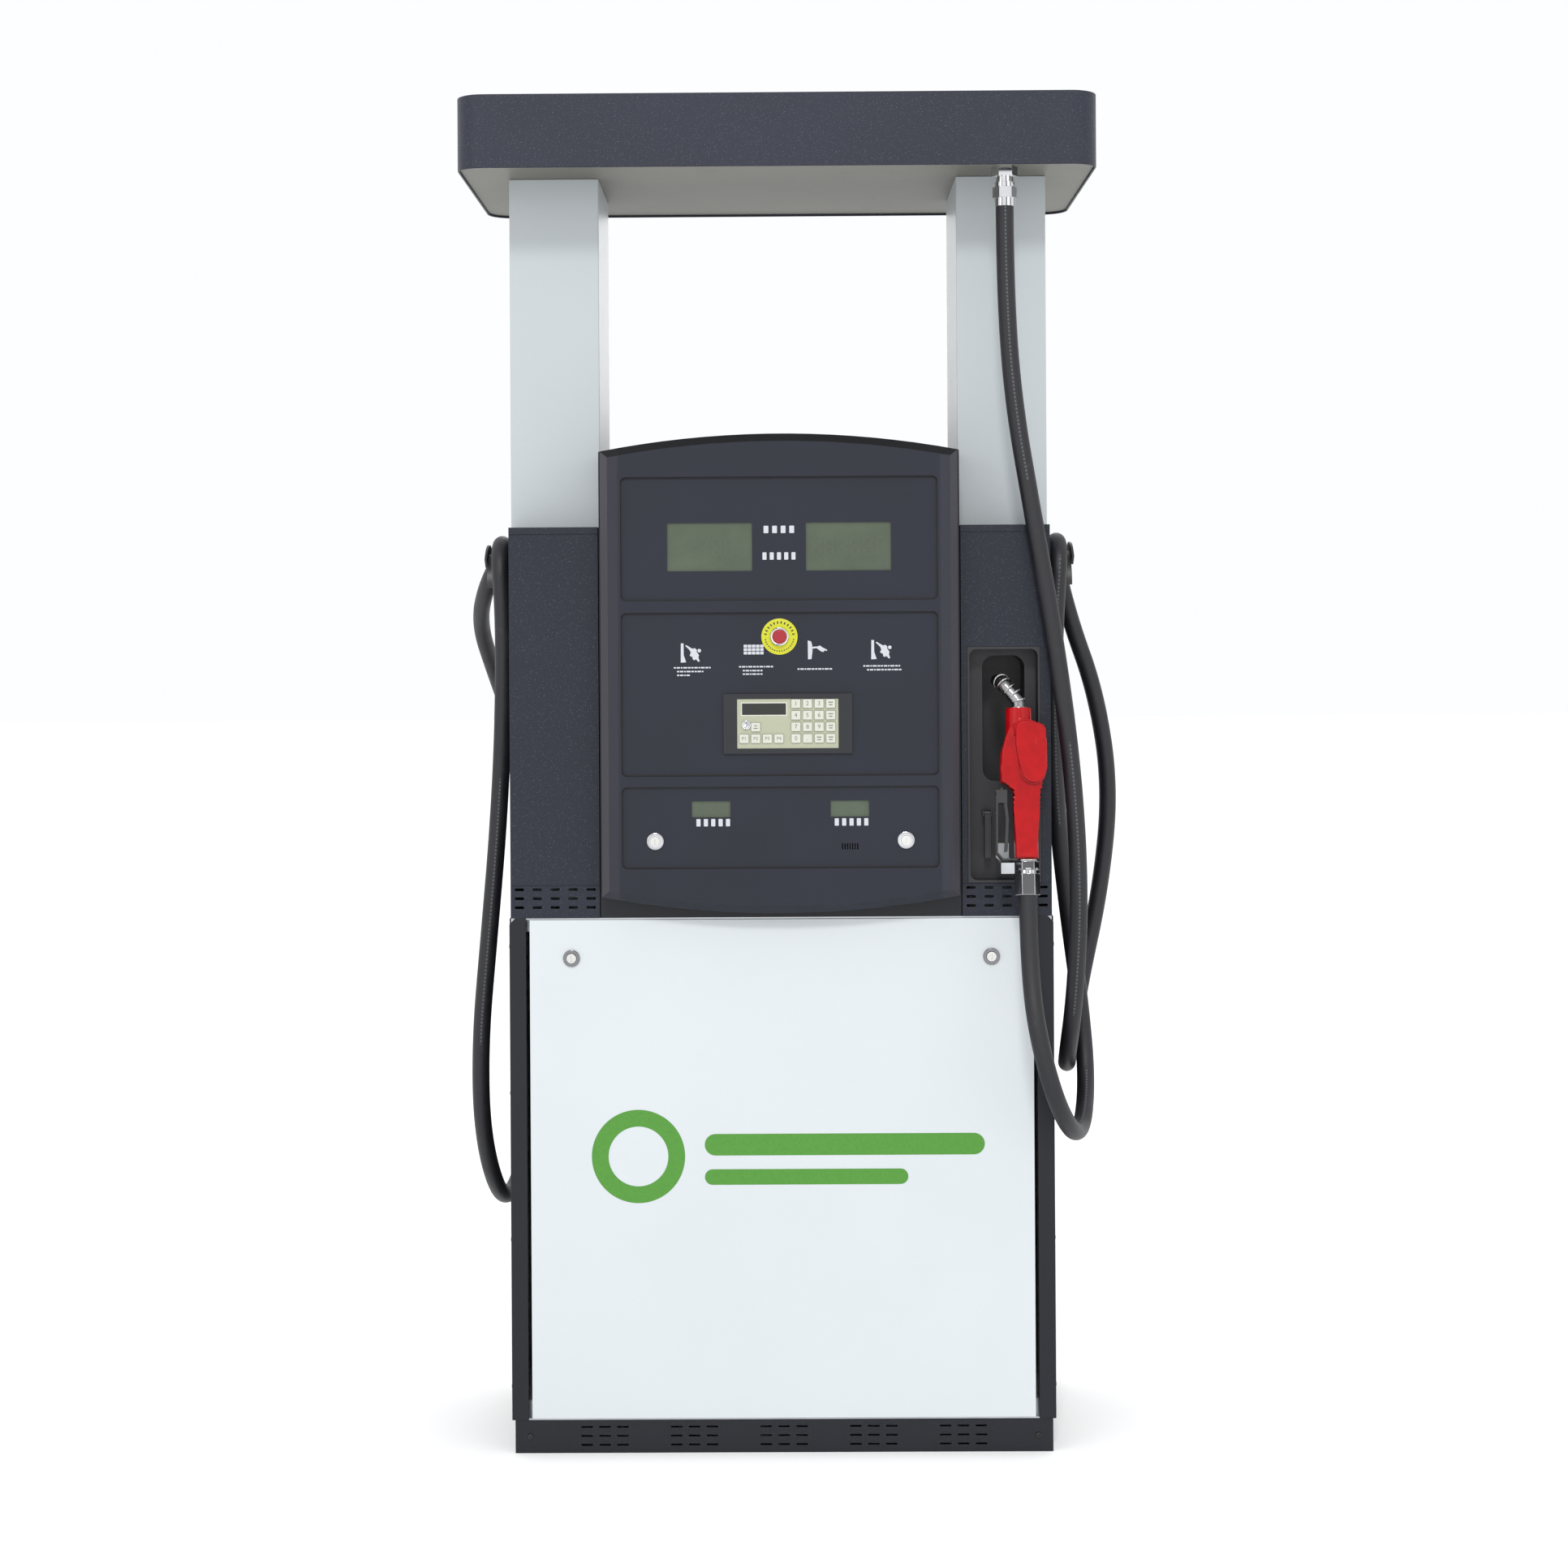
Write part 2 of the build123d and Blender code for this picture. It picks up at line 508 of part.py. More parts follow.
def canopy():
    outline = RectangleRounded(CANOPY_W, CANOPY_D, CANOPY_R)
    inner = RectangleRounded(CANOPY_W - 2 * CANOPY_WALL, CANOPY_D - 2 * CANOPY_WALL,
                             CANOPY_R - CANOPY_WALL)
    shell = Pos(0, 0, CANOPY_BOTTOM) * extrude(outline, CANOPY_H)
    shell -= Pos(0, 0, CANOPY_BOTTOM - 1) * extrude(inner, CANOPY_H - CANOPY_WALL + 1)
    plate_outline = RectangleRounded(CANOPY_W - 2 * CANOPY_WALL - 2 * GAP,
                                     CANOPY_D - 2 * CANOPY_WALL - 2 * GAP, CANOPY_R - CANOPY_WALL)
    plate = Pos(0, 0, UNDER) * extrude(plate_outline, CANOPY_WALL)
    ledges = []
    for sx in (-1, 1):
        plate -= rod_z(PIPE_R + 6, sx * OUTLET_X, 0, CANOPY_BOTTOM, CANOPY_BOTTOM + 10)
        plate -= rod_z(PIPE_R + GAP, sx * OUTLET_X, sx * OUTLET_Y, CANOPY_BOTTOM, CANOPY_BOTTOM + 10)
        reach = CANOPY_W / 2 - CANOPY_WALL
        x = sorted((sx * reach, sx * (reach - LEDGE_W)))
        ledges.append(block(*x, -LEDGE_D / 2, LEDGE_D / 2, UNDER + CANOPY_WALL + GAP,
                            UNDER + CANOPY_WALL + LEDGE_T))
    for ledge in ledges:
        shell += ledge
    return shell, plate


# ---------------------------------------------------------------- display side
def arched(half_w, z0, z1, rise):
    """A panel outline whose top and bottom edges bow outwards by rise."""
    bottom = ThreePointArc((-half_w, z0), (0, z0 - rise), (half_w, z0))
    right = Line((half_w, z0), (half_w, z1))
    top = ThreePointArc((half_w, z1), (0, z1 + rise), (-half_w, z1))
    left = Line((-half_w, z1), (-half_w, z0))
    return make_face([bottom, right, top, left])


def bezel():
    hw = BEZEL_W / 2
    edge = BEZEL_SKIN + BEZEL_LIP
    body = slab(arched(hw, BEZEL_BOTTOM, BEZEL_TOP, BEZEL_RISE), BEZEL_FRONT, BEZEL_BACK)
    rim = body.faces().sort_by(Axis.Y)[0].edges()
    body = chamfer(rim, BEZEL_EDGE)
    hollow = arched(hw - BEZEL_SKIN - BEZEL_EDGE, BEZEL_BOTTOM + edge, BEZEL_TOP - edge, BEZEL_RISE)
    body -= slab(hollow, WALL_BACK, BEZEL_BACK + 1)
    for z0, z1 in RECESSES:
        frame = Pos(0, (z0 + z1) / 2) * RectangleRounded(RECESS_W, z1 - z0, RECESS_CORNER)
        body -= slab(frame, BEZEL_FRONT - 1, RECESS_FLOOR)
    cuts = []
    for sx in (-1, 1):
        for w, h, z in ((LCD_W, LCD_H, LCD_Z), (PRICE_W, PRICE_H, PRICE_Z)):
            cuts.append(block(sx * LCD_X - w / 2, sx * LCD_X + w / 2, BEZEL_FRONT - 1, WALL_BACK + 1,
                              z - h / 2, z + h / 2))
        cuts.append(rod_y(LOCK_BARREL_R, sx * BEZEL_LOCK_X, BEZEL_LOCK_Z, BEZEL_FRONT - 1,
                          WALL_BACK + 1))
    cuts.append(rod_y(STOP_RING_R - STOP_RING_WALL, 0, STOP_Z, BEZEL_FRONT - 1, WALL_BACK + 1))
    pad_x, pad_z = PAD_W / 2 - PAD_SEAT, PAD_H / 2 - PAD_SEAT
    cuts.append(block(PAD_X - pad_x, PAD_X + pad_x, BEZEL_FRONT - 1, WALL_BACK + 1,
                      PAD_Z - pad_z, PAD_Z + pad_z))
    for n in range(GRILLE_SLOTS):
        x = GRILLE_X + (n - (GRILLE_SLOTS - 1) / 2) * GRILLE_PITCH
        cuts.append(block(x - GRILLE_SLOT_W / 2, x + GRILLE_SLOT_W / 2, BEZEL_FRONT - 1, WALL_BACK + 1,
                          GRILLE_Z - GRILLE_SLOT_H / 2, GRILLE_Z + GRILLE_SLOT_H / 2))
    for sx in (-1, 1):
        x = sx * HINGE_X
        cuts.append(block(x - HINGE_PIN_HALF - 2, x + HINGE_PIN_HALF + 2, BEZEL_BACK - HINGE_POCKET_D,
                          BEZEL_BACK + 1, HINGE_Z - HINGE_KNUCKLE_R - 4, BEZEL_TOP + 2 * BEZEL_RISE))
    body -= cuts
    for sx in (-1, 1):
        for dx in (-HINGE_KNUCKLE_X, HINGE_KNUCKLE_X):
            body += knuckle(sx * HINGE_X + dx)
    barrels = []
    for sx in (-1, 1):
        x = sx * BEZEL_LOCK_X
        barrels.append(lock_barrel(x, BEZEL_LOCK_Z, RECESS_FLOOR, WALL_BACK + LOCK_DEPTH))
    ring_front = RECESS_FLOOR - STOP_RING_T
    ring = rod_y(STOP_RING_R, 0, STOP_Z, ring_front, RECESS_FLOOR)
    ring += rod_y(STOP_RING_R - STOP_RING_WALL, 0, STOP_Z, ring_front, WALL_BACK + STOP_SLEEVE)
    ring -= rod_y(STOP_BUTTON_R + RUN_FIT, 0, STOP_Z, ring_front - 1, WALL_BACK + STOP_SLEEVE + 1)
    return [body, *barrels, ring]


def knuckle(x):
    """One hinge knuckle, on an arm from the front wall of the bezel's hinge pocket."""
    x0, x1 = x - HINGE_KNUCKLE_W / 2, x + HINGE_KNUCKLE_W / 2
    arm = block(x0, x1, BEZEL_BACK - HINGE_POCKET_D - 1, FRONT, HINGE_Z - HINGE_KNUCKLE_R,
                HINGE_Z + HINGE_KNUCKLE_R)
    arm += rod_x(HINGE_KNUCKLE_R, FRONT, HINGE_Z, x0, x1)
    return arm - rod_x(HINGE_PIN_R + RUN_FIT, FRONT, HINGE_Z, x0 - 1, x1 + 1)


def glasses():
    panes = []
    for sx in (-1, 1):
        for w, h, z in ((LCD_W, LCD_H, LCD_Z), (PRICE_W, PRICE_H, PRICE_Z)):
            panes.append(block(sx * LCD_X - w / 2 - GLASS_LAP, sx * LCD_X + w / 2 + GLASS_LAP,
                               WALL_BACK, WALL_BACK + GLASS_T, z - h / 2 - GLASS_LAP,
                               z + h / 2 + GLASS_LAP))
    return panes


def display_boards():
    y0 = WALL_BACK + GLASS_T
    boards = []
    for w, h, z in ((LCD_BOARD_W, LCD_BOARD_H, LCD_Z),
                    (PRICE_BOARD_W, PRICE_BOARD_H, PRICE_Z + PRICE_BOARD_RISE)):
        boards.append(block(-w / 2, w / 2, y0, y0 + BOARD_T, z - h / 2, z + h / 2))
    return boards


def pad_block(half_w, half_h, y0, y1):
    return block(PAD_X - half_w, PAD_X + half_w, y0, y1, PAD_Z - half_h, PAD_Z + half_h)


def keypad_panel():
    face = RECESS_FLOOR - PAD_PROUD
    seat = PAD_SEAT + 0.5
    plate = (PAD_PLATE_W / 2, PAD_PLATE_H / 2)
    frame = pad_block(PAD_W / 2, PAD_H / 2, face, RECESS_FLOOR)
    frame -= pad_block(*plate, face - 1, face + PAD_PLATE_SINK)
    back = pad_block(PAD_W / 2 - seat, PAD_H / 2 - seat, RECESS_FLOOR, WALL_BACK + PAD_BACK)
    panel = frame + back
    panel -= pad_block(*plate, face + PAD_PLATE_T, WALL_BACK + PAD_BACK - BEZEL_WALL)
    return panel - key_shapes(GAP, face - 1, face + PAD_PLATE_T + 1)


def key_places():
    """Centres of the keys: a four by four block, the row of four presets and one above it."""
    places = []
    for row in range(4):
        for column_index in range(4):
            places.append((KEY_GRID_X + KEY_PITCH * (column_index + 0.5),
                           KEY_GRID_Z - KEY_PITCH * row))
    for n in range(4):
        places.append((KEY_GRID_X - KEY_PRESET_GAP - KEY_PITCH * (n + 0.5), KEY_GRID_Z - 3 * KEY_PITCH))
    places.append((KEY_GRID_X - KEY_PRESET_GAP - KEY_PITCH * 2.5, KEY_GRID_Z - 2 * KEY_PITCH))
    return places


def key_shapes(grow, y0, y1):
    return [block(x - KEY_W / 2 - grow, x + KEY_W / 2 + grow, y0, y1,
                  z - KEY_H / 2 - grow, z + KEY_H / 2 + grow) for x, z in key_places()]


def key_mat():
    """All keys moulded on one silicone web, which lies in the panel's hollow."""
    face = RECESS_FLOOR - PAD_PROUD
    web_front = face + PAD_PLATE_T + SEAT_GAP
    web = pad_block(PAD_PLATE_W / 2 - 1, PAD_PLATE_H / 2 - 1, web_front, web_front + KEY_WEB_T)
    for key in key_shapes(0, face - KEY_PROUD, web_front + 1):
        web += key
    return web


def stop_button():
    stem = rod_y(STOP_BUTTON_R, 0, STOP_Z, RECESS_FLOOR - STOP_PROUD, WALL_BACK + STOP_SLEEVE - 2)
    return fillet(stem.edges().sort_by(Axis.Y)[0], STOP_ROUND)


# ---------------------------------------------------------------- nozzle
def hang(shape):
    """From the nozzle's own frame to where it hangs."""
    return Pos(NOZZLE_X, NOZZLE_Y, NOZZLE_Z) * Rot(-NOZZLE_LEAN, 0, 0) * shape


CASTING_OUTLINE = [(-24, 40), (24, 40), (41, 28), (41, -56), (26, -72), (26, -HANDLE_BOTTOM),
                   (-14, -HANDLE_BOTTOM), (-14, -76), (-36, -58), (-39, -10)]
SPOUT_PATH = [(SPOUT_X, 0, SPOUT_SOCKET), (SPOUT_X, 0, 84), (-34, 8, 116), (-37, 72, 128)]
SPOUT_BENDS = [18, 16]
GUARD_PATH = [(-38.5, -62), (-47, -74), (-48, -168), (-38, GUARD_T / 2 - GUARD_BOTTOM),
              (-16, GUARD_T / 2 - GUARD_BOTTOM)]
LEVER_PATH = [LEVER_PIVOT, (-30, -112), (-33, -164)]
CHEEK_X0, CHEEK_X1, CHEEK_Z0, CHEEK_Z1 = -48.0, -30.0, -86.0, -64.0
CHEEK_IN, CHEEK_OUT = 9.0, 12.0


def nozzle_body():
    profile = make_face(Polyline(*CASTING_OUTLINE, close=True))
    half = NOZZLE_T / 2
    casting = slab(fillet(profile.vertices(), NOZZLE_ROUND), -half, half)
    casting = chamfer(casting.faces().sort_by(Axis.Y)[0].edges(), NOZZLE_CHAMFER)
    casting = chamfer(casting.faces().sort_by(Axis.Y)[-1].edges(), NOZZLE_CHAMFER)
    casting += rod_z(SPOUT_COLLAR_R, SPOUT_X, 0, 30, SPOUT_COLLAR_TOP)
    casting -= rod_z(SPOUT_R + RUN_FIT, SPOUT_X, 0, SPOUT_SOCKET, SPOUT_COLLAR_TOP + 8)
    pad = slab(Pos(13, -14) * RectangleRounded(PAD_FACE_W, PAD_FACE_H, 8), -half - PAD_FACE_T, -half + 1)
    return casting + pad


def nozzle_spout():
    path = FilletPolyline(*SPOUT_PATH, radius=SPOUT_BENDS)
    start = Plane(origin=path @ 0, z_dir=path % 0)
    tube = sweep(start * Circle(SPOUT_R), path=path)
    bore = sweep(start * Circle(SPOUT_R - SPOUT_WALL), path=path)
    return tube - bore


def strip(points, thick, y0, y1):
    """A bent strip through points in the x-z plane, made of mitred straight parts."""
    whole = rod_y(thick / 2, *points[0], y0, y1)
    for (xa, za), (xb, zb) in zip(points[:-1], points[1:]):
        length = math.hypot(xb - xa, zb - za)
        turn = math.degrees(math.atan2(zb - za, xb - xa))
        place = Pos((xa + xb) / 2, (y0 + y1) / 2, (za + zb) / 2) * Rot(0, -turn, 0)
        whole += place * Box(length, y1 - y0, thick)
        whole += rod_y(thick / 2, xb, zb, y0, y1)
    return whole


def nozzle_lever():
    bar = strip(LEVER_PATH, LEVER_T, -LEVER_W / 2, LEVER_W / 2)
    return bar - rod_y(LEVER_PIN_R + RUN_FIT, *LEVER_PIVOT, -LEVER_W, LEVER_W)


def guard_with_pin():
    """Strip round the lever, two cheeks beside its pivot and the pin between them."""
    band = strip(GUARD_PATH, GUARD_T, -GUARD_W / 2, GUARD_W / 2)
    for y in ((CHEEK_IN, CHEEK_OUT), (-CHEEK_OUT, -CHEEK_IN)):
        band += block(CHEEK_X0, CHEEK_X1, *y, CHEEK_Z0, CHEEK_Z1)
    below = -HANDLE_BOTTOM - RUN_FIT
    casting = make_face(Polyline((-14, below), *CASTING_OUTLINE[-3:], (41, -10), (41, below), close=True))
    return band - slab(casting, -GUARD_W, GUARD_W) + rod_y(LEVER_PIN_R, *LEVER_PIVOT, -CHEEK_OUT, CHEEK_OUT)


def hexagon(across_flats, height):
    return extrude(RegularPolygon(across_flats / 2, 6, major_radius=False), height)


def nozzle_swivel():
    z0, z1 = SWIVEL_TOP - SWIVEL_LEN, SWIVEL_TOP
    nut = Pos(SWIVEL_X, 0, z1) * hexagon(SWIVEL_AF, SWIVEL_NUT_H)
    neck = rod_z(SWIVEL_NECK_R, SWIVEL_X, 0, z1 + SWIVEL_NUT_H, -HANDLE_BOTTOM - 2 * RUN_FIT)
    coupling = Pos(SWIVEL_X, 0, z0) * hexagon(SWIVEL_AF + 2, SWIVEL_LEN - 6)
    return nut + neck + coupling + rod_z(SWIVEL_BARREL_R, SWIVEL_X, 0, z0, z1)


# ---------------------------------------------------------------- hoses
FRONT_HOSE_ROUTE = [
    (380, -218, 2080), (380, -218, 1950), (391, -224, 1760), (424, -230, 1560), (460, -236, 1345),
    (487, -236, 1135), (498, -228, 930), (491, -208, 760), (484, -120, 632), (502, 20, 618),
    (534, 112, 740), (574, 128, 910), (592, 124, 1090), (566, 110, 1260), (514, 86, 1400),
    (484, 76, 1529), (484, -76, 1529), (474, -84, 1400), (469, -82, 1230), (476, -66, 1060),
    (496, -44, 890), (519, -26, 730), (526, -70, 590), (498, -210, 520), (452, -326, 585),
    (416, -336, 710), (406, -298.3, 828.3), (406, -282.98, 937.25)]
REAR_HOSE_ROUTE = [
    (-380, 218, 2080), (-380, 218, 1950), (-394, 224, 1760), (-428, 230, 1560), (-460, 234, 1370),
    (-476, 236, 1200), (-482, 240, 1050), (-482, 280, 915), (-480, 378, 858), (-482, 474, 912),
    (-490, 492, 1050), (-508, 440, 1190), (-536, 344, 1300), (-554, 240, 1392), (-528, 132, 1462),
    (-484, 76, 1529), (-484, -76, 1529), (-474, -84, 1400), (-476, -86, 1220), (-486, -84, 1040),
    (-504, -76, 850), (-522, -62, 670), (-524, -24, 500), (-506, 84, 366), (-490, 230, 352),
    (-470, 346, 452), (-430, 374, 600), (-410, 330, 730), (-406, 298.3, 828.3), (-406, 282.98, 937.25)]


def swivel_face():
    """Centre of the swivel's lower face, where the hose starts."""
    point = hang(Pos(SWIVEL_X, 0, SWIVEL_TOP - SWIVEL_LEN) * Box(1, 1, 1)).center()
    return (point.X, point.Y, point.Z)


def hose(route, label):
    points = [Vector(*p) for p in route]
    radii = []
    for a, b, c in zip(points[:-2], points[1:-1], points[2:]):
        half_turn = math.radians((b - a).get_angle(c - b)) / 2
        radii.append(0.45 * min((b - a).length, (c - b).length) / math.tan(half_turn))
    path = FilletPolyline(*points, radius=radii)
    start = Plane(origin=path @ 0, z_dir=path % 0)
    tube = sweep(start * Circle(HOSE_R), path=path)
    ratio = tube.volume / (math.pi * HOSE_R ** 2 * path.length)
    print(label, "length", round(path.length), "volume ratio", round(ratio, 4))
    print(label, "radii", [round(r) for r in radii])
    print(label, "runs", [round((b - a).length) for a, b in zip(points[:-1], points[1:])])
    return tube


def hose_hook():
    """Saddle for the hose with a raised lip at its outer end, on a plate against the cowl."""
    far = HOOK_X1 + 100
    inner = HOOK_R - HOOK_T
    ring = rod_x(HOOK_R, 0, HOOK_Z, HOOK_X0, HOOK_X1) - rod_x(inner, 0, HOOK_Z, 0, far)
    lip = rod_x(HOOK_R + HOOK_LIP, 0, HOOK_Z, HOOK_X1, HOOK_X1 + HOOK_LIP_T)
    lip -= rod_x(inner, 0, HOOK_Z, 0, far)
    reach = 3 * HOOK_R
    side = reach * math.sin(math.radians(HOOK_LIP_ANGLE))
    up = HOOK_Z + reach * math.cos(math.radians(HOOK_LIP_ANGLE))
    wedge = make_face(Polyline((0, HOOK_Z), (-side, up), (-side, up + reach), (side, up + reach),
                               (side, up), close=True))
    lip = lip & extrude(Plane.YZ.offset(HOOK_X0) * wedge, 2 * HOOK_W)
    ring -= block(0, far, -HOOK_R - 1, HOOK_R + 1, HOOK_Z - HOOK_R - 1, HOOK_Z)
    plate = block(COWL_OUT, HOOK_X0, -HOOK_R, HOOK_R, HOOK_Z - HOOK_PLATE_DROP, HOOK_Z + HOOK_R)
    return ring + lip + plate


def hose_outlet():
    """Nut under the canopy, collar, ring and the hexagonal ferrule that holds the hose."""
    x, y = OUTLET_X, OUTLET_Y
    sleeve_r = HOSE_R + FERRULE_WALL
    z = UNDER - OUTLET_NUT_H
    outlet = Pos(x, y, z) * hexagon(2 * OUTLET_NUT_R, OUTLET_NUT_H)
    outlet += rod_z(HOSE_R, x, y, z - OUTLET_COLLAR_H, z)
    z -= OUTLET_COLLAR_H + OUTLET_RING_H
    outlet += rod_z(sleeve_r, x, y, z, z + OUTLET_RING_H)
    hex_z = FERRULE_BOTTOM + FERRULE_SLEEVE_H
    outlet += Pos(x, y, hex_z) * hexagon(2 * sleeve_r + 1, z - hex_z)
    return outlet + rod_z(sleeve_r, x, y, FERRULE_BOTTOM, hex_z)


# ---------------------------------------------------------------- works inside
def pump_unit():
    z0 = PUMP_Z - PUMP_H / 2
    body = block(PUMP_X - PUMP_W / 2, PUMP_X + PUMP_W / 2, -PUMP_D / 2, PUMP_D / 2, z0, z0 + PUMP_H)
    body = chamfer(body.edges().filter_by(Axis.Y), PUMP_CHAMFER)
    boss_y = -PUMP_D / 2 - PUMP_BOSS_H
    boss = rod_y(PUMP_BOSS_R, PUMP_X, PUMP_Z, boss_y, -PUMP_D / 2)
    shaft = rod_y(SHAFT_R, PUMP_X, PUMP_Z, PULLEY_Y - PULLEY_W / 2 - SHAFT_PAST, boss_y)
    filter_bowl = rod_z(BOWL_R, PUMP_X + 60, 20, z0 + PUMP_H, z0 + PUMP_H + BOWL_H)
    feet = []
    for sx in (-1, 1):
        x = PUMP_X + sx * (PUMP_W / 2 - 30)
        feet.append(block(x - 15, x + 15, -60, 60, PLINTH_H + SHEET, z0))
    return [body + boss + shaft + filter_bowl, *feet]


def drive_motor():
    y0 = PULLEY_Y + PULLEY_W / 2 + MOTOR_BACKSET
    can = rod_y(MOTOR_R, MOTOR_X, MOTOR_Z, y0, y0 + MOTOR_LEN)
    can = chamfer(can.edges().filter_by(GeomType.CIRCLE), 8)
    shaft = rod_y(SHAFT_R, MOTOR_X, MOTOR_Z, PULLEY_Y - PULLEY_W / 2 - SHAFT_PAST, y0)
    box = block(MOTOR_X - 40, MOTOR_X + 40, y0 + 60, y0 + 160, MOTOR_Z + MOTOR_R - 8, MOTOR_Z + MOTOR_R + 45)
    floor = PLINTH_H + SHEET
    foot = block(MOTOR_X - 85, MOTOR_X + 85, y0 + 40, y0 + MOTOR_LEN - 40, floor, floor + 10)
    stand = block(MOTOR_X - 60, MOTOR_X + 60, y0 + 40, y0 + MOTOR_LEN - 40, floor, MOTOR_Z - MOTOR_R + 30)
    return can + shaft + box + foot + stand


def pulley(x, z, radius):
    y0, y1 = PULLEY_Y - PULLEY_W / 2, PULLEY_Y + PULLEY_W / 2
    wheel = rod_y(radius, x, z, y0, y1)
    for y in (y0, y1 - PULLEY_RIM_T):
        wheel += rod_y(radius + BELT_T + PULLEY_RIM_OVER, x, z, y, y + PULLEY_RIM_T)
    for n in range(3):
        angle = math.radians(120 * n + 90)
        reach = (radius + SHAFT_R) / 2
        wheel -= rod_y(radius * 0.22, x + reach * math.cos(angle), z + reach * math.sin(angle),
                       y0 - 1, y1 + 1)
    return wheel - rod_y(SHAFT_R + SHAFT_FIT, x, z, y0 - 1, y1 + 1)


def drive_belt():
    """Belt round both pulleys, with a small clearance to their rims."""
    def hull(extra):
        a, b = Vector(MOTOR_X, MOTOR_Z), Vector(PUMP_X, PUMP_Z)
        ra, rb = MOTOR_PULLEY_R + extra, PUMP_PULLEY_R + extra
        axis = b - a
        angle = math.atan2(axis.Y, axis.X)
        spread = math.acos((ra - rb) / axis.length)
        corners = []
        for centre, r, sign in ((a, ra, 1), (b, rb, 1), (b, rb, -1), (a, ra, -1)):
            t = angle + sign * spread
            corners.append((centre.X + r * math.cos(t), centre.Y + r * math.sin(t)))
        flat = make_face(Polyline(*corners, close=True))
        return flat + Pos(a.X, a.Y) * Circle(ra) + Pos(b.X, b.Y) * Circle(rb)
    width = PULLEY_W / 2 - PULLEY_RIM_T - 1
    return slab(hull(GAP + BELT_T) - hull(GAP), PULLEY_Y - width, PULLEY_Y + width)


def flow_meters():
    meters = []
    for sx in (-1, 1):
        x = sx * METER_X
        meter = rod_z(METER_R, x, 0, METER_Z, METER_Z + METER_H)
        meter += rod_z(METER_R + METER_FLANGE, x, 0, METER_Z, METER_Z + METER_FLANGE_H)
        meter += rod_z(METER_NECK_R, x, 0, METER_Z + METER_H, METER_Z + METER_H + METER_NECK_H)
        meters.append(meter)
    reach = HALF_W - BEAM_INSET
    beam = block(-reach, reach, -BEAM_D / 2, BEAM_D / 2, METER_Z - BEAM_T, METER_Z)
    return [*meters, beam]


def pipework():
    pieces = []
    suction = rod_z(INLET_R + INLET_WALL, PUMP_X, 0, INLET_BOTTOM, PUMP_Z - PUMP_H / 2)
    pieces.append(suction - rod_z(INLET_R, PUMP_X, 0, 0, PUMP_Z))
    top = CANOPY_BOTTOM + RISER_TOP
    neck_z = METER_Z + METER_H + METER_NECK_H
    for sx in (-1, 1):
        x, y = sx * OUTLET_X, sx * OUTLET_Y
        meter = sx * METER_X
        turn_z = neck_z + PIPE_TURN_H
        route = [(meter, 0, neck_z), (meter, 0, turn_z), (x, 0, turn_z), (x, 0, top), (x, y, top),
                 (x, y, UNDER)]
        pieces.append(pipe(route, PIPE_R, PIPE_BEND))
    feed_x, feed_z = PUMP_X + FEED_DX, PUMP_Z + PUMP_H / 2
    route = [(feed_x, 0, feed_z), (feed_x, 0, FEED_TURN_Z), (0, 0, FEED_TURN_Z), (0, 0, METER_Z - BEAM_T)]
    pieces.append(pipe(route, PIPE_R, FEED_BEND))
    return pieces


# ---------------------------------------------------------------- write the nodes
def main():
    save("base_plinth", base_plinth())
    save("cabinet_frame", *cabinet_frame())
    panel = side_panel()
    save("side_panels", panel, mirror_x(panel))
    right_column = column()
    save("right_column", right_column)
    save("left_column", mirror_x(right_column))
    right_cowl = cowl(True)
    save("right_cowl", right_cowl)
    save("left_cowl", rear(right_cowl))
    save_pair("nozzle_boot", *nozzle_boot(), switch_bearing())
    save_pair("boot_switch", boot_switch())
    save("head_box", *head_box())
    save("control_boards", *control_boards())
    top, underside = canopy()
    save("canopy_shell", top)
    save("canopy_underside", underside)
    pan, barrels = door()
    save_pair("door", pan)
    save_pair("door_lock_barrels", *barrels)
    for side, sx in (("left", -1), ("right", 1)):
        save_pair(f"door_lock_{side}", lock_plug(sx * DOOR_LOCK_X, DOOR_LOCK_Z, FRONT,
                                                 FRONT + BEZEL_WALL + LOCK_DEPTH, DOOR_CAM))
        save_pair(f"bezel_lock_{side}", lock_plug(sx * BEZEL_LOCK_X, BEZEL_LOCK_Z, RECESS_FLOOR,
                                                  WALL_BACK + LOCK_DEPTH, BEZEL_CAM))
    save_pair("bezel", *bezel())
    save_pair("display_glass", *glasses())
    save_pair("display_boards", *display_boards())
    save_pair("keypad_panel", keypad_panel())
    save_pair("key_mat", key_mat())
    save_pair("stop_button", stop_button())
    save_pair("nozzle_body", hang(nozzle_body()))
    save_pair("nozzle_spout", hang(nozzle_spout()))
    save_pair("nozzle_guard", hang(guard_with_pin()))
    save_pair("nozzle_lever", hang(nozzle_lever()))
    save_pair("nozzle_swivel", hang(nozzle_swivel()))
    save("front_hose", hose(FRONT_HOSE_ROUTE, "front hose"))
    save("rear_hose", hose(REAR_HOSE_ROUTE, "rear hose"))
    save("hose_hooks", hose_hook(), rear(hose_hook()))
    save("hose_outlets", hose_outlet(), rear(hose_outlet()))
    save("pump_unit", *pump_unit())
    save("drive_motor", drive_motor())
    save("motor_pulley", pulley(MOTOR_X, MOTOR_Z, MOTOR_PULLEY_R))
    save("pump_pulley", pulley(PUMP_X, PUMP_Z, PUMP_PULLEY_R))
    save("drive_belt", drive_belt())
    save("flow_meters", *flow_meters())
    save("pipework", *pipework())
    print("swivel face", [round(v, 2) for v in swivel_face()])


main()
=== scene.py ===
import json
import math

import bmesh
import bpy
from bpy.props import FloatProperty, FloatVectorProperty, IntProperty, PointerProperty
from mathutils import Matrix, Vector

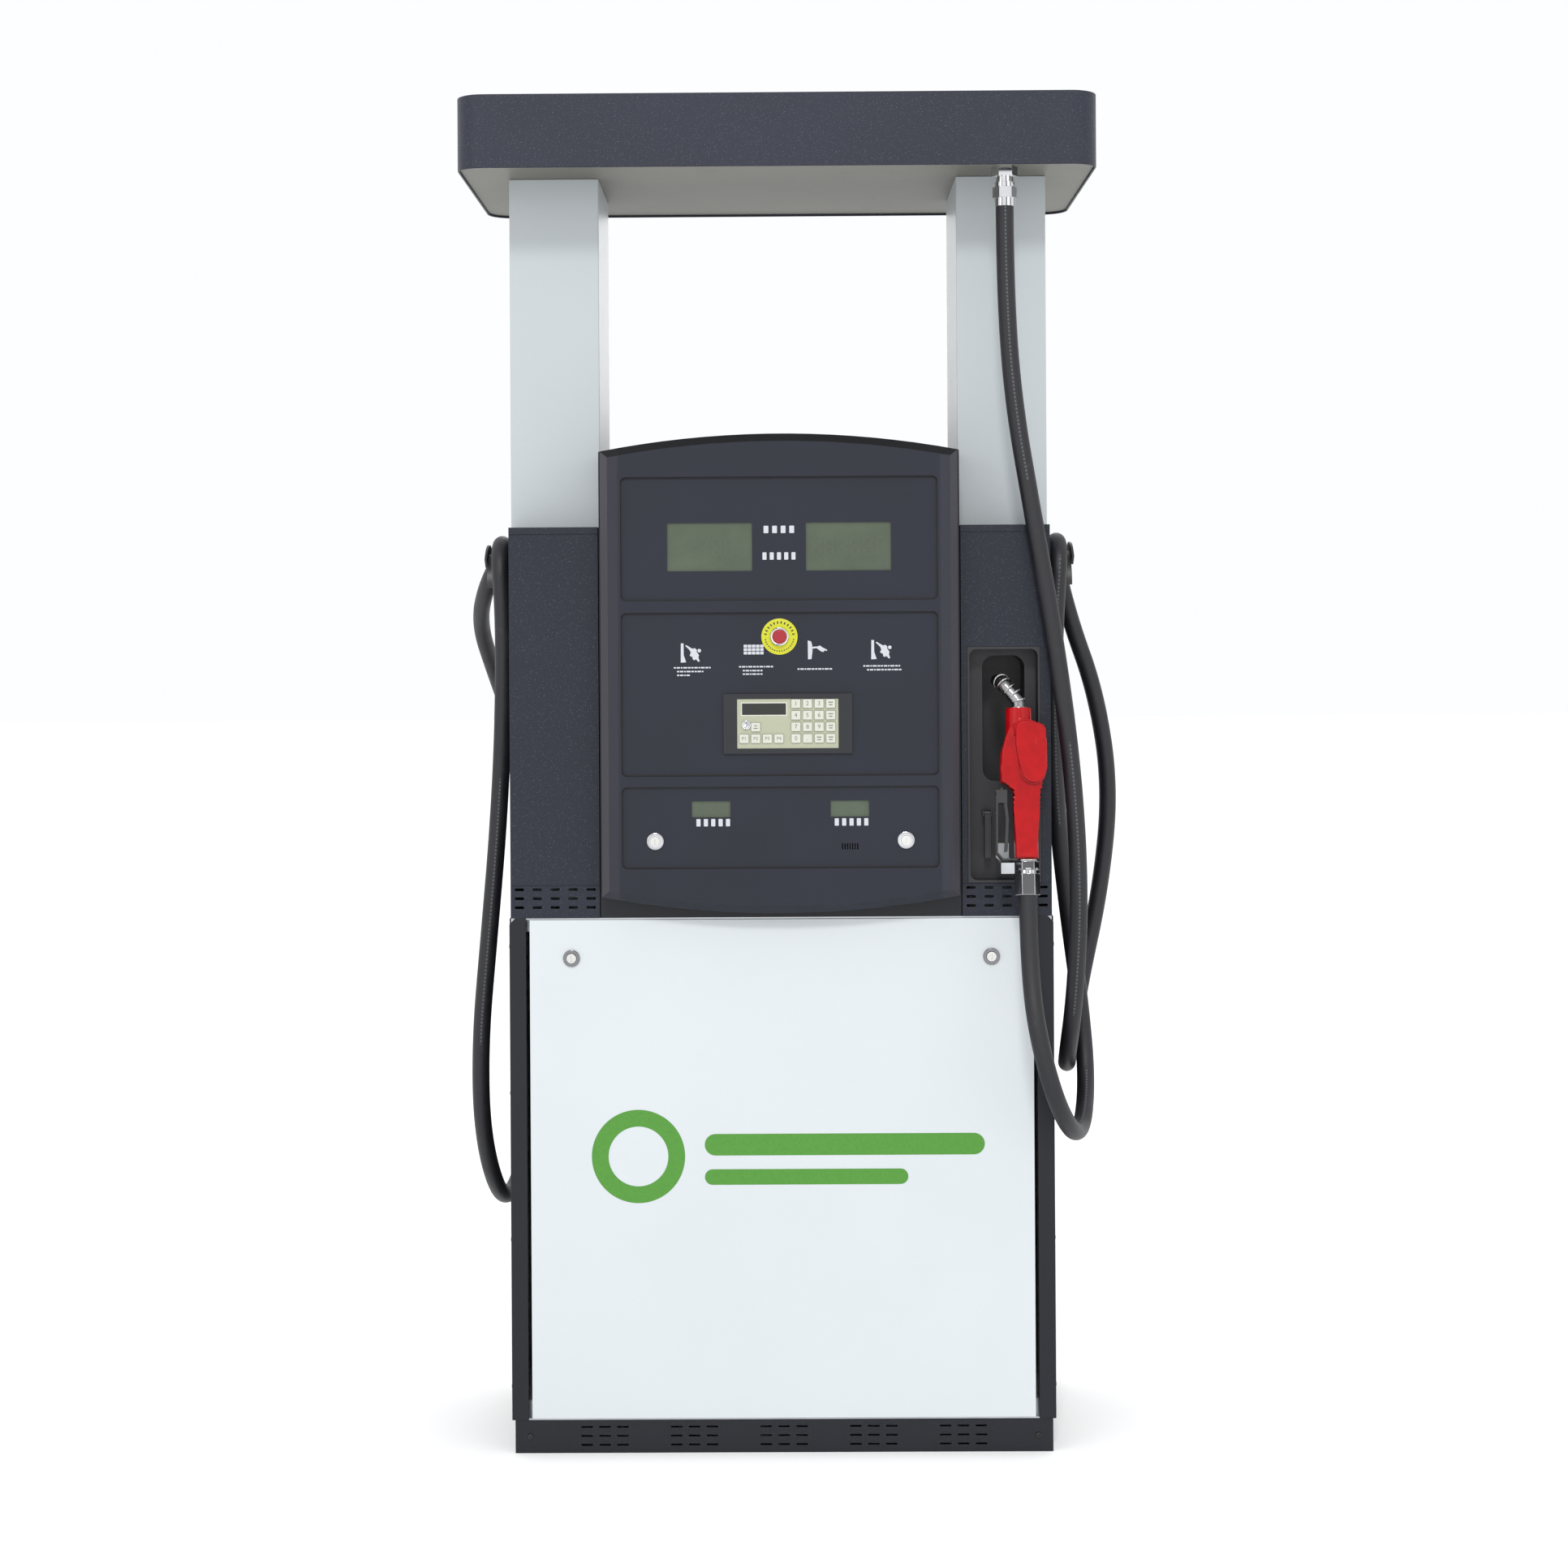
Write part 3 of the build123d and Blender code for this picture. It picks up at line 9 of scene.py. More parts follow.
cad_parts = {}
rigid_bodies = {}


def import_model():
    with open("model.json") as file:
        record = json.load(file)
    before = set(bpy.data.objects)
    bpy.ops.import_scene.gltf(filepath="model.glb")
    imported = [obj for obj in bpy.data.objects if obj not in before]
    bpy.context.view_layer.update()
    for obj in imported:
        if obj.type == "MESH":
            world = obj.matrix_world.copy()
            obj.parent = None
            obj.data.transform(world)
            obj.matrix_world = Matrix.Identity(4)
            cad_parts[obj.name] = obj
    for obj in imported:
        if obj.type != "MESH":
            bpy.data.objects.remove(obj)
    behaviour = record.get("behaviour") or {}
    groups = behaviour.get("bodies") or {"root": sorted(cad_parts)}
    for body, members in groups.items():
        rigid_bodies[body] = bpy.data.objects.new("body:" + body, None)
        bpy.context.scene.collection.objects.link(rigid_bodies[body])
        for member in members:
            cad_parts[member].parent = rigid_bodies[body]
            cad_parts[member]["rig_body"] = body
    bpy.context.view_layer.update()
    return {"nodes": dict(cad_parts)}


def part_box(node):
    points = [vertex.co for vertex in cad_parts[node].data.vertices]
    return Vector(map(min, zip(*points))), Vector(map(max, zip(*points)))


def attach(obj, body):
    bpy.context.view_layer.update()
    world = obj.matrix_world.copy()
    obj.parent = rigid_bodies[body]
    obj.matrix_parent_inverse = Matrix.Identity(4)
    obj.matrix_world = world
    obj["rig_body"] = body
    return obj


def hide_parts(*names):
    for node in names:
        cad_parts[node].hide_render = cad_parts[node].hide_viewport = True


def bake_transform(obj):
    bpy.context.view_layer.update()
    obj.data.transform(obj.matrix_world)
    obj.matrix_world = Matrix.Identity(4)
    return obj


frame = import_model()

bl_info = {
    "name": "Fuel Dispenser",
    "version": (1, 0, 0),
    "blender": (4, 5, 0),
    "location": "View3D > Sidebar > Dispenser",
    "description": "Builds the finished look of a two-sided fuel dispenser round its engineering frame",
    "category": "Object",
}

MM = 0.001
HALF_TURN = Matrix.Rotation(math.pi, 4, "Z")
SIDES = {"front": Matrix.Identity(4), "rear": HALF_TURN}


# ------------------------------------------------------------------ shader maths
class Value:
    """A number socket whose arithmetic adds Math nodes."""

    def __init__(self, finish, socket):
        self.finish, self.socket = finish, socket

    def _do(self, operation, first, second=None, clamp=False):
        inputs = {0: first} if second is None else {0: first, 1: second}
        settings = {"operation": operation, "use_clamp": clamp}
        return Value(self.finish, self.finish.node("ShaderNodeMath", settings, inputs).outputs[0])

    def __add__(self, other):
        return self._do("ADD", self, other)

    def __radd__(self, other):
        return self._do("ADD", other, self)

    def __sub__(self, other):
        return self._do("SUBTRACT", self, other)

    def __rsub__(self, other):
        return self._do("SUBTRACT", other, self)

    def __mul__(self, other):
        return self._do("MULTIPLY", self, other)

    def __rmul__(self, other):
        return self._do("MULTIPLY", other, self)

    def __lt__(self, other):
        return self._do("LESS_THAN", self, other)

    def __mod__(self, other):
        return self._do("FLOORED_MODULO", self, other)

    def __abs__(self):
        return self._do("ABSOLUTE", self)

    def step(self, low, high):
        """0 below low, 1 above high, smooth between them."""
        node = self.finish.node("ShaderNodeMapRange", {"interpolation_type": "SMOOTHSTEP"},
                                {"Value": self, "From Min": low, "From Max": high})
        return Value(self.finish, node.outputs[0])


class Finish:
    """One material, built from nodes."""

    def __init__(self, name):
        self.material = bpy.data.materials.new(name)
        self.material.use_nodes = True
        self.tree = self.material.node_tree
        self.shader = self.tree.nodes["Principled BSDF"]
        self._coords = None

    def node(self, kind, settings=None, inputs=None):
        node = self.tree.nodes.new(kind)
        for key, value in (settings or {}).items():
            setattr(node, key, value)
        for key, value in (inputs or {}).items():
            self.put(node.inputs[key], value)
        return node

    def put(self, socket, value):
        if isinstance(value, Value):
            self.tree.links.new(value.socket, socket)
        elif isinstance(value, bpy.types.NodeSocket):
            self.tree.links.new(value, socket)
        else:
            socket.default_value = value

    def coords(self):
        if self._coords is None:
            self._coords = self.node("ShaderNodeTexCoord").outputs["Object"]
        return self._coords

    def stretched(self, scale):
        return self.node("ShaderNodeMapping", None, {"Vector": self.coords(), "Scale": scale}).outputs[0]

    def noise(self, scale, detail=2.0, rough=0.5, at=None):
        inputs = {"Vector": at or self.coords(), "Scale": scale, "Detail": detail, "Roughness": rough}
        return Value(self, self.node("ShaderNodeTexNoise", None, inputs).outputs[0])

    def cells(self, scale, at=None):
        inputs = {"Vector": at or self.coords(), "Scale": scale}
        return Value(self, self.node("ShaderNodeTexVoronoi", None, inputs).outputs["Distance"])

    def axis(self, letter, at=None):
        node = self.node("ShaderNodeSeparateXYZ", None, {0: at or self.coords()})
        return Value(self, node.outputs[letter])

    def uv(self):
        return self.node("ShaderNodeTexCoord").outputs["UV"]

    def mix(self, factor, first, second):
        node = self.node("ShaderNodeMix", {"data_type": "RGBA"}, {0: factor, 6: first, 7: second})
        return node.outputs[2]

    def bump(self, height, strength, distance=0.001):
        inputs = {"Height": height, "Strength": strength, "Distance": distance}
        return self.node("ShaderNodeBump", None, inputs).outputs[0]

    def set(self, **sockets):
        for key, value in sockets.items():
            self.put(self.shader.inputs[key.replace("_", " ").title().replace("Ior", "IOR")], value)
        return self


def shade(colour, factor):
    return (colour[0] * factor, colour[1] * factor, colour[2] * factor, 1.0)


def solid(colour):
    return (colour[0], colour[1], colour[2], 1.0)


def powder_coat(name, colour, rough=0.45, grain=900.0, speck=0.0, speck_colour=(0.5, 0.52, 0.6), bump=0.25):
    """Baked powder paint: an orange-peel skin, faint clouding and, where asked, metallic flecks."""
    f = Finish(name)
    pale = colour[1] > 0.3
    low, high = (0.985, 1.01) if pale else (0.93, 1.06)
    cloud = f.noise(3.0, 3.0)
    base = f.mix(cloud.step(0.3, 0.7), shade(colour, low), shade(colour, high))
    grime = f.noise(14.0, 5.0, 0.65).step(0.55, 0.85)
    base = f.mix(grime * (0.03 if pale else 0.12), base, shade(colour, 0.75))
    peel = f.noise(grain, 3.0, 0.6)
    if speck:
        fleck = 1.0 - f.cells(650.0).step(0.10, 0.26)
        some = f.noise(400.0, 1.0).step(0.5, 0.62)
        base = f.mix(fleck * some * speck, base, solid(speck_colour))
    f.set(base_color=base, roughness=rough + (peel - 0.5) * 0.18 + grime * 0.05,
          specular_ior_level=0.36 if colour[1] < 0.1 else 0.45, normal=f.bump(peel, bump, 0.0004))
    return f.material


def moulded(name, colour, rough=0.5, grain=1400.0, bump=0.2, gloss=0.0):
    """Moulded plastic with a fine spark-eroded grain and slight handling marks."""
    f = Finish(name)
    wear = f.noise(30.0, 4.0, 0.6).step(0.45, 0.8)
    base = f.mix(wear * 0.25, solid(colour), shade(colour, 1.35))
    grain_height = f.noise(grain, 2.0, 0.7)
    f.set(base_color=base, roughness=rough + wear * 0.08 + (grain_height - 0.5) * 0.1,
          normal=f.bump(grain_height, bump, 0.0003))
    if gloss:
        f.set(coat_weight=gloss, coat_roughness=0.06)
    return f.material


def metal(name, colour, rough=0.2, brushed=0.0, axis=(1, 1, 60)):
    """Bare or plated metal with fine draw lines and finger haze."""
    f = Finish(name)
    haze = f.noise(25.0, 4.0, 0.6)
    lines = f.noise(220.0, 2.0, 0.6, at=f.stretched(axis))
    base = f.mix(haze.step(0.35, 0.75), shade(colour, 0.86), solid(colour))
    f.set(base_color=base, metallic=1.0, roughness=rough + (haze - 0.5) * 0.16 + (lines - 0.5) * brushed,
          normal=f.bump(lines, 0.06 + brushed * 0.4, 0.0002))
    return f.material


def tipped_metal(name, colour, depth):
    """Bright drawn tube near the user, a black sleeve on what lies deeper than this."""
    f = Finish(name)
    sleeve = 1.0 - abs(f.axis("Y")).step(depth - 0.002, depth + 0.002)
    haze = f.noise(40.0, 4.0, 0.6)
    base = f.mix(haze.step(0.35, 0.75), shade(colour, 0.7), solid(colour))
    base = f.mix(sleeve, base, (0.006, 0.006, 0.007, 1))
    f.set(base_color=base, metallic=1.0 - sleeve, roughness=0.24 + sleeve * 0.25 + (haze - 0.5) * 0.12,
          normal=f.bump(f.noise(500.0, 2.0), 0.06, 0.0003))
    return f.material


def plating(name, colour):
    """Polished chrome: painted reflections of a dark room lie across it as bands, by the way each spot
    faces, over faint haze.
    """
    f = Finish(name)
    normal = f.node("ShaderNodeTexCoord").outputs["Normal"]
    across, upright = f.axis("X", normal), f.axis("Z", normal)
    haze = f.noise(25.0, 4.0, 0.6)
    reflection_sweep = (abs(across + 0.12 + (haze - 0.5) * 0.1) * 2.6 + abs(upright) * 1.7) % 1.0
    band = reflection_sweep.step(0.42, 0.50) * (1.0 - reflection_sweep.step(0.68, 0.76))
    base = f.mix(haze.step(0.35, 0.75), shade(colour, 0.88), solid(colour))
    # Painted reflection: dark bands mixed into the colour where the facing direction falls in the sweep.
    base = f.mix(band * 0.86, base, (0.035, 0.037, 0.04, 1))
    f.set(base_color=base, metallic=1.0, roughness=0.13 + (haze - 0.5) * 0.12,
          normal=f.bump(haze, 0.04, 0.0002))
    return f.material


def enamel(name, colour):
    """Glossy cast enamel of the nozzle's cover: slight mottling below a clear skin, with painted shade
    darkening the faces that turn downward.
    """
    f = Finish(name)
    mottle = f.noise(45.0, 4.0, 0.55)
    scuff = f.noise(160.0, 3.0, 0.7, at=f.stretched((1, 1, 0.25))).step(0.66, 0.8)
    painted_underside_shade = 1.0 - f.axis("Z", f.node("ShaderNodeTexCoord").outputs["Normal"]).step(-0.8, 0.1)
    base = f.mix(mottle.step(0.3, 0.75), shade(colour, 0.8), solid(colour))
    # Painted shade: faces that turn downward are mixed towards a darker copy of the red.
    base = f.mix(painted_underside_shade * 0.75, base, shade(colour, 0.42))
    base = f.mix(scuff * 0.10, base, (0.75, 0.2, 0.18, 1))
    f.set(base_color=base, roughness=0.3 + scuff * 0.2 + (mottle - 0.5) * 0.08, coat_weight=0.3,
          coat_roughness=0.05, specular_ior_level=0.12, normal=f.bump(f.noise(260.0, 3.0), 0.12, 0.0006))
    return f.material


def hose_rubber(name, colour):
    """Extruded rubber cover: lengthwise die lines, bloom, and a pale row of printed dashes."""
    f = Finish(name)
    u, v = f.axis("X", f.uv()), f.axis("Y", f.uv())
    bloom = f.noise(12.0, 4.0, 0.6).step(0.35, 0.75)
    lines = f.noise(90.0, 2.0, 0.5, at=f.node("ShaderNodeMapping", None,
                                              {"Vector": f.uv(), "Scale": (0.4, 6.0, 1.0)}).outputs[0])
    rub = f.noise(55.0, 5.0, 0.7).step(0.6, 0.8)
    base = f.mix(bloom * 0.6, solid(colour), shade(colour, 1.9))
    base = f.mix(rub * 0.2, base, (0.1, 0.1, 0.1, 1))
    band = (abs(v - 0.25) < 0.016) * ((u % 0.9) < 0.46)
    dash = ((u % 0.0065) < 0.004) * band
    base = f.mix(dash * 0.30, base, (0.20, 0.21, 0.23, 1))
    f.set(base_color=base, roughness=0.46 + bloom * 0.14 + (lines - 0.5) * 0.12,
          normal=f.bump(lines + f.noise(700.0, 2.0) * 0.4, 0.16, 0.0005))
    return f.material


BEZEL_RIM = (0.264, 0.27)      # half widths between which the rim's painted sheen sets in


def bezel_coat(name, colour, edge):
    """The display panel's dark paint, with a painted sheen that makes the rim band and the bevels at its
    sides paler, and black on faces that turn upward.
    """
    f = Finish(name)
    normal = f.node("ShaderNodeTexCoord").outputs["Normal"]
    rim_sheen_band = abs(f.axis("X")).step(*BEZEL_RIM)
    side_sheen = abs(f.axis("X", normal)).step(0.35, 0.6) * rim_sheen_band
    upward = f.axis("Z", normal).step(0.3, 0.6)
    grain = f.noise(1100.0, 2.0, 0.7)
    cloud = f.noise(5.0, 3.0)
    base = f.mix(cloud.step(0.3, 0.7), shade(colour, 0.92), shade(colour, 1.08))
    # Painted sheen: the rim band and its side-facing bevels are mixed towards the paler rim colour.
    base = f.mix(rim_sheen_band * 0.22, base, solid(edge))
    base = f.mix(side_sheen * 0.85, base, solid(edge))
    base = f.mix(upward * 0.9, base, (0.002, 0.002, 0.0025, 1))
    f.set(base_color=base, roughness=0.5 + (grain - 0.5) * 0.2, specular_ior_level=0.34,
          normal=f.bump(grain, 0.3, 0.0004))
    return f.material


def lcd_panel(name, colour):
    """Reflective display glass seen with its polariser: mottled grey-green with a fine darker cell pattern.
    """
    f = Finish(name)
    cloud = f.noise(18.0, 3.0)
    grid = f.cells(900.0)
    base = f.mix(cloud.step(0.25, 0.75), shade(colour, 0.86), shade(colour, 1.1))
    base = f.mix(grid * 0.12, base, shade(colour, 0.6))
    f.set(base_color=base, roughness=0.35 + cloud * 0.08, specular_ior_level=0.25, coat_weight=0.25,
          coat_roughness=0.1)
    return f.material


def printed(name, colour, rough=0.5):
    """Screen-printed ink or a label film, with slightly uneven cover."""
    f = Finish(name)
    cover = f.noise(320.0, 4.0, 0.6).step(0.2, 0.6)
    f.set(base_color=f.mix(cover, shade(colour, 0.85), solid(colour)), roughness=rough + (1.0 - cover) * 0.1,
          normal=f.bump(cover, 0.08, 0.0002))
    return f.material


def circuit(name, colour):
    f = Finish(name)
    tracks = f.cells(220.0).step(0.3, 0.36)
    base = f.mix(tracks, solid(colour), shade(colour, 1.8))
    f.set(base_color=base, roughness=0.45 + tracks * 0.1, normal=f.bump(tracks, 0.3, 0.0004))
    return f.material


# ------------------------------------------------------------------ sizes and colours
def colour_property(name, default, text):
    return FloatVectorProperty(name=name, description=text, subtype="COLOR", size=3, min=0, max=1,
                               default=default)


class DispenserColours(bpy.types.PropertyGroup):
    canopy: colour_property("Canopy", (0.017, 0.020, 0.033), "Paint of the canopy fascia")
    cowl: colour_property("Cowls", (0.007, 0.010, 0.020), "Paint of the side cowls")
    trim: colour_property("Trim", (0.004, 0.005, 0.009), "Paint of plinth and side panels")
    door: colour_property("Doors", (0.545, 0.58, 0.60), "Paint of the lower doors")
    column: colour_property("Columns", (0.43, 0.465, 0.48), "Paint of the columns")
    underside: colour_property("Underside", (0.135, 0.132, 0.112), "Paint below the canopy")
    bezel: colour_property("Bezels", (0.009, 0.011, 0.021), "Paint of the display panels")
    # The rim colour is a painted sheen, mixed onto the bezel's side bevels.
    rim: colour_property("Bezel rim", (0.050, 0.047, 0.056), "Sheen of the display panel's rim")
    nozzle: colour_property("Nozzle", (0.40, 0.0015, 0.004), "Enamel of the nozzle")
    hose: colour_property("Hose", (0.006, 0.006, 0.009), "Rubber of the hose")
    display: colour_property("Display", (0.070, 0.091, 0.060), "Display glass")
    label: colour_property("Stop label", (0.52, 0.52, 0.008), "Film round the stop button")
    accent: colour_property("Door bars", (0.058, 0.235, 0.018), "Plain bars on the doors")


class DispenserSizes(bpy.types.PropertyGroup):
    sheet_edge: FloatProperty(name="Sheet edge", description="Rounding of folded sheet edges",
                              default=0.0016, min=0.0002, max=0.004, unit="LENGTH")
    hose_width: FloatProperty(name="Hose", description="Outside diameter of the hoses",
                              default=0.030, min=0.02, max=0.04, unit="LENGTH")
    spring_turns: IntProperty(name="Spring turns", description="Turns of the guard on each spout",
                              default=6, min=4, max=30)
    screw_width: FloatProperty(name="Screws", description="Width of a panel screw's head",
                               default=0.009, min=0.004, max=0.016, unit="LENGTH")


def sizes():
    return bpy.context.scene.dispenser_sizes


PAINTS = {
    "canopy": lambda c: powder_coat("canopy_paint", c.canopy, 0.42, 800, 0.5),
    "cowl": lambda c: powder_coat("cowl_paint", c.cowl, 0.5, 700, 0.35, bump=0.45),
    "trim": lambda c: powder_coat("trim_paint", c.trim, 0.42, 1000),
    "door": lambda c: powder_coat("door_paint", c.door, 0.36, 600, bump=0.12),
    "column": lambda c: powder_coat("column_paint", c.column, 0.38, 600, bump=0.12),
    "underside": lambda c: powder_coat("underside_paint", c.underside, 0.5, 600),
    "bezel": lambda c: bezel_coat("bezel_paint", c.bezel, c.rim),
    "boot": lambda c: moulded("boot_moulding", (0.016, 0.016, 0.019), 0.48),
    "black": lambda c: moulded("black_moulding", (0.012, 0.012, 0.013), 0.4),
    "gloss": lambda c: moulded("gloss_moulding", (0.008, 0.008, 0.009), 0.18, bump=0.03, gloss=0.8),
    "frame": lambda c: moulded("keypad_frame", (0.004, 0.005, 0.008), 0.42, bump=0.1),
    "keys": lambda c: moulded("key_rubber", (0.52, 0.53, 0.46), 0.55, bump=0.08),
    "plate": lambda c: moulded("key_plate", (0.36, 0.375, 0.27), 0.45, bump=0.08),
    "grey_ink": lambda c: printed("grey_ink", (0.15, 0.15, 0.14)),
    "red": lambda c: enamel("nozzle_enamel", c.nozzle),
    "button": lambda c: moulded("button_red", (0.30, 0.006, 0.014), 0.4, bump=0.05),
    "chrome": lambda c: plating("chrome_plate", (0.80, 0.81, 0.83)),
    "steel": lambda c: metal("bright_steel", (0.62, 0.62, 0.60), 0.24, 0.12),
    "spout": lambda c: tipped_metal("spout_steel", (0.36, 0.36, 0.37), 0.234),
    "bright_ring": lambda c: metal("lock_ring_chrome", (0.55, 0.56, 0.58), 0.2),
    "ring": lambda c: metal("lock_ring_steel", (0.20, 0.20, 0.21), 0.2),
    "galvanised": lambda c: metal("galvanised_sheet", (0.5, 0.52, 0.54), 0.38, 0.1),
    "cast": lambda c: powder_coat("cast_iron_paint", (0.16, 0.17, 0.17), 0.55, 260, bump=0.8),
    "motor": lambda c: powder_coat("motor_paint", (0.05, 0.10, 0.16), 0.45, 300, bump=0.6),
    "alloy": lambda c: metal("cast_alloy", (0.66, 0.66, 0.67), 0.42, 0.05, (1, 1, 1)),
    "belt": lambda c: moulded("belt_rubber", (0.012, 0.012, 0.012), 0.7, 500),
    "hose": lambda c: hose_rubber("hose_rubber", c.hose),
    "lcd": lambda c: lcd_panel("display_glass", c.display),
    "lcd_dark": lambda c: lcd_panel("small_display_glass", (0.018, 0.020, 0.018)),
    "segment": lambda c: printed("display_segment", (0.066, 0.085, 0.056), 0.25),
    "ink": lambda c: printed("white_ink", (0.50, 0.52, 0.56)),
    # painted shade: a near-black film along each recess step, where shade falls
    "joint": lambda c: moulded("painted_recess_shade", (0.002, 0.002, 0.003), 0.6, bump=0.1),
    "dark_ink": lambda c: printed("dark_ink", (0.02, 0.02, 0.02)),
    "label": lambda c: printed("label_film", c.label, 0.42),
    "accent": lambda c: printed("bar_film", c.accent, 0.4),
    "board": lambda c: circuit("circuit_board", (0.015, 0.10, 0.035)),
}
_made = {}


def paint(name):
    if name not in _made:
        _made[name] = PAINTS[name](bpy.context.scene.dispenser_colours)
    return _made[name]


# ------------------------------------------------------------------ mesh helpers
def link(name, mesh, material=None):
    piece = bpy.data.objects.new(name, mesh)
    bpy.context.scene.collection.objects.link(piece)
    if material is not None:
        mesh.materials.clear()
        mesh.materials.append(material)
    return piece


def mesh_of(name, bm):
    """A new mesh from a bmesh, which is freed."""
    mesh = bpy.data.meshes.new(name)
    bm.to_mesh(mesh)
    bm.free()
    return mesh


def settled(piece, name, material):
    """The piece with its modifiers taken in, as a plain mesh in a new object."""
    graph = bpy.context.evaluated_depsgraph_get()
    graph.update()
    mesh = bpy.data.meshes.new_from_object(piece.evaluated_get(graph), depsgraph=graph)
    bpy.data.objects.remove(piece)
    return link(name, mesh, material)


def smooth_by_angle(mesh, degrees=35):
    mesh.shade_smooth()
    mesh.set_sharp_from_angle(angle=math.radians(degrees))


def softened(node, paint_name, width=None, segments=2):
    """A CAD node's shape with its sharp edges rounded, standing for that node."""
    source = frame["nodes"][node]
    bm = bmesh.new()
    bm.from_mesh(source.data)
    bmesh.ops.remove_doubles(bm, verts=bm.verts, dist=2e-6)
    bmesh.ops.dissolve_limit(bm, angle_limit=math.radians(1.0), verts=bm.verts, edges=bm.edges)
    mesh = mesh_of(node + "_shape", bm)
    smooth_by_angle(mesh, 30)
    rough = link(node + "_rough", mesh)
    bevel = rough.modifiers.new("edges", "BEVEL")
    bevel.width = width or sizes().sheet_edge
    bevel.segments = segments
    bevel.limit_method = "ANGLE"
    bevel.angle_limit = math.radians(40)
    bevel.use_clamp_overlap = True
    weighted = rough.modifiers.new("normals", "WEIGHTED_NORMAL")
    weighted.keep_sharp = True
    piece = settled(rough, node + "_skin", paint(paint_name))
    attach(piece, source["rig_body"])
    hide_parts(node)
    return piece


def sized_islands(data):
    """Face numbers of each separate solid in a mesh, the largest solid first."""
    bm = bmesh.new()
    bm.from_mesh(data)
    groups, seen = [], set()
    for first in bm.faces:
        if first in seen:
            continue
        seen.add(first)
        stack, group = [first], []
        while stack:
            face = stack.pop()
            group.append(face)
            for edge in face.edges:
                for other in edge.link_faces:
                    if other not in seen:
                        seen.add(other)
                        stack.append(other)
        spans = [max(v.co[k] for f in group for v in f.verts) - min(v.co[k] for f in group for v in f.verts)
                 for k in range(3)]
        groups.append((spans[0] * spans[1] * spans[2], [f.index for f in group]))
    bm.free()
    return [faces for _, faces in sorted(groups, key=lambda g: (-g[0], g[1][0]))]


def repaint(node, paint_name):
    """A CAD node that keeps its own shape gets its finish."""
    data = frame["nodes"][node].data
    data.materials.clear()
    data.materials.append(paint(paint_name))
    smooth_by_angle(data, 30)


def bm_disc(bm, centre, radius, depth, sides=48, inner=0.0, rim=0.0):
    """A ring or disc facing -Y, its front at centre, with a rounded front rim."""
    steps = [(inner, depth), (inner, 0.0), (radius - rim, 0.0), (radius - rim * 0.3, rim * 0.3),
             (radius, rim), (radius, depth)]
    if not rim:
        steps = [(inner, depth), (inner, 0.0), (radius, 0.0), (radius, depth)]
    rings = []
    for r, d in steps:
        ring = []
        for k in range(sides):
            a = 2 * math.pi * k / sides
            x, z = centre[0] + r * math.cos(a), centre[2] + r * math.sin(a)
            ring.append(bm.verts.new((x, centre[1] + d, z)))
        rings.append(ring)
    closed = rings + [rings[0]]
    for first, second in zip(closed[:-1], closed[1:]):
        for k in range(sides):
            j = (k + 1) % sides
            bm.faces.new((first[k], first[j], second[j], second[k]))


def finished(bm, name, paint_name, body, side, edge=0.0, angle=35):
    """Closes a bmesh off as a piece: merged, facing outwards, turned to its side, riding its body."""
    bmesh.ops.remove_doubles(bm, verts=bm.verts, dist=1e-6)
    bmesh.ops.dissolve_degenerate(bm, edges=bm.edges, dist=1e-7)
    bmesh.ops.recalc_face_normals(bm, faces=bm.faces)
    bmesh.ops.transform(bm, matrix=SIDES[side], verts=bm.verts)
    mesh = mesh_of(name, bm)
    smooth_by_angle(mesh, angle)
    piece = link(name, mesh, paint(paint_name))
    if edge:
        bevel = piece.modifiers.new("edges", "BEVEL")
        bevel.width = edge
        bevel.segments = 2
        piece = settled(piece, name, paint(paint_name))
    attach(piece, body)
    return piece


def outline_solid(bm, points, y_front, thick):
    """A flat shape given as (x, z) corners, y_front nearest the user."""
    front = [bm.verts.new((x, y_front, z)) for x, z in points]
    back = [bm.verts.new((x, y_front + thick, z)) for x, z in points]
    bm.faces.new(front)
    bm.faces.new(list(reversed(back)))
    for k in range(len(points)):
        j = (k + 1) % len(points)
        bm.faces.new((front[k], back[k], back[j], front[j]))


def rounded(x, z, w, h, r, steps=5):
    """Corners of a rounded rectangle centred at x, z."""
    points = []
    for cx, cz, start in ((1, 1, 0), (-1, 1, 90), (-1, -1, 180), (1, -1, 270)):
        for k in range(steps + 1):
            a = math.radians(start + 90 * k / steps)
            points.append((x + cx * (w / 2 - r) + r * math.cos(a), z + cz * (h / 2 - r) + r * math.sin(a)))
    return points


def words(text, name, x, z, y, height, paint_name, body, side):
    """A short generic mark such as a digit, standing 0.15 mm proud."""
    curve = bpy.data.curves.new(name, "FONT")
    curve.body = text
    curve.size = height
    curve.align_x = "CENTER"
    curve.align_y = "CENTER"
    curve.extrude = 0.00008
    curve.resolution_u = 3
    piece = bpy.data.objects.new(name + "_curve", curve)
    bpy.context.scene.collection.objects.link(piece)
    piece = settled(piece, name, paint(paint_name))
    place = SIDES[side] @ Matrix.Translation((x, y, z)) @ Matrix.Rotation(math.pi / 2, 4, "X")
    piece.data.transform(place)
    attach(piece, body)
    return piece


# ------------------------------------------------------------------ geometry node trees
def new_tree(name, inputs):
    tree = bpy.data.node_groups.new(name, "GeometryNodeTree")
    ids = {}
    for label, kind in inputs:
        socket = tree.interface.new_socket(label, in_out="INPUT", socket_type=kind)
        ids[label] = socket.identifier
    tree.interface.new_socket("Geometry", in_out="OUTPUT", socket_type="NodeSocketGeometry")
    return tree, ids, tree.nodes.new("NodeGroupInput"), tree.nodes.new("NodeGroupOutput")


def join(tree, first, second):
    tree.links.new(first, second)


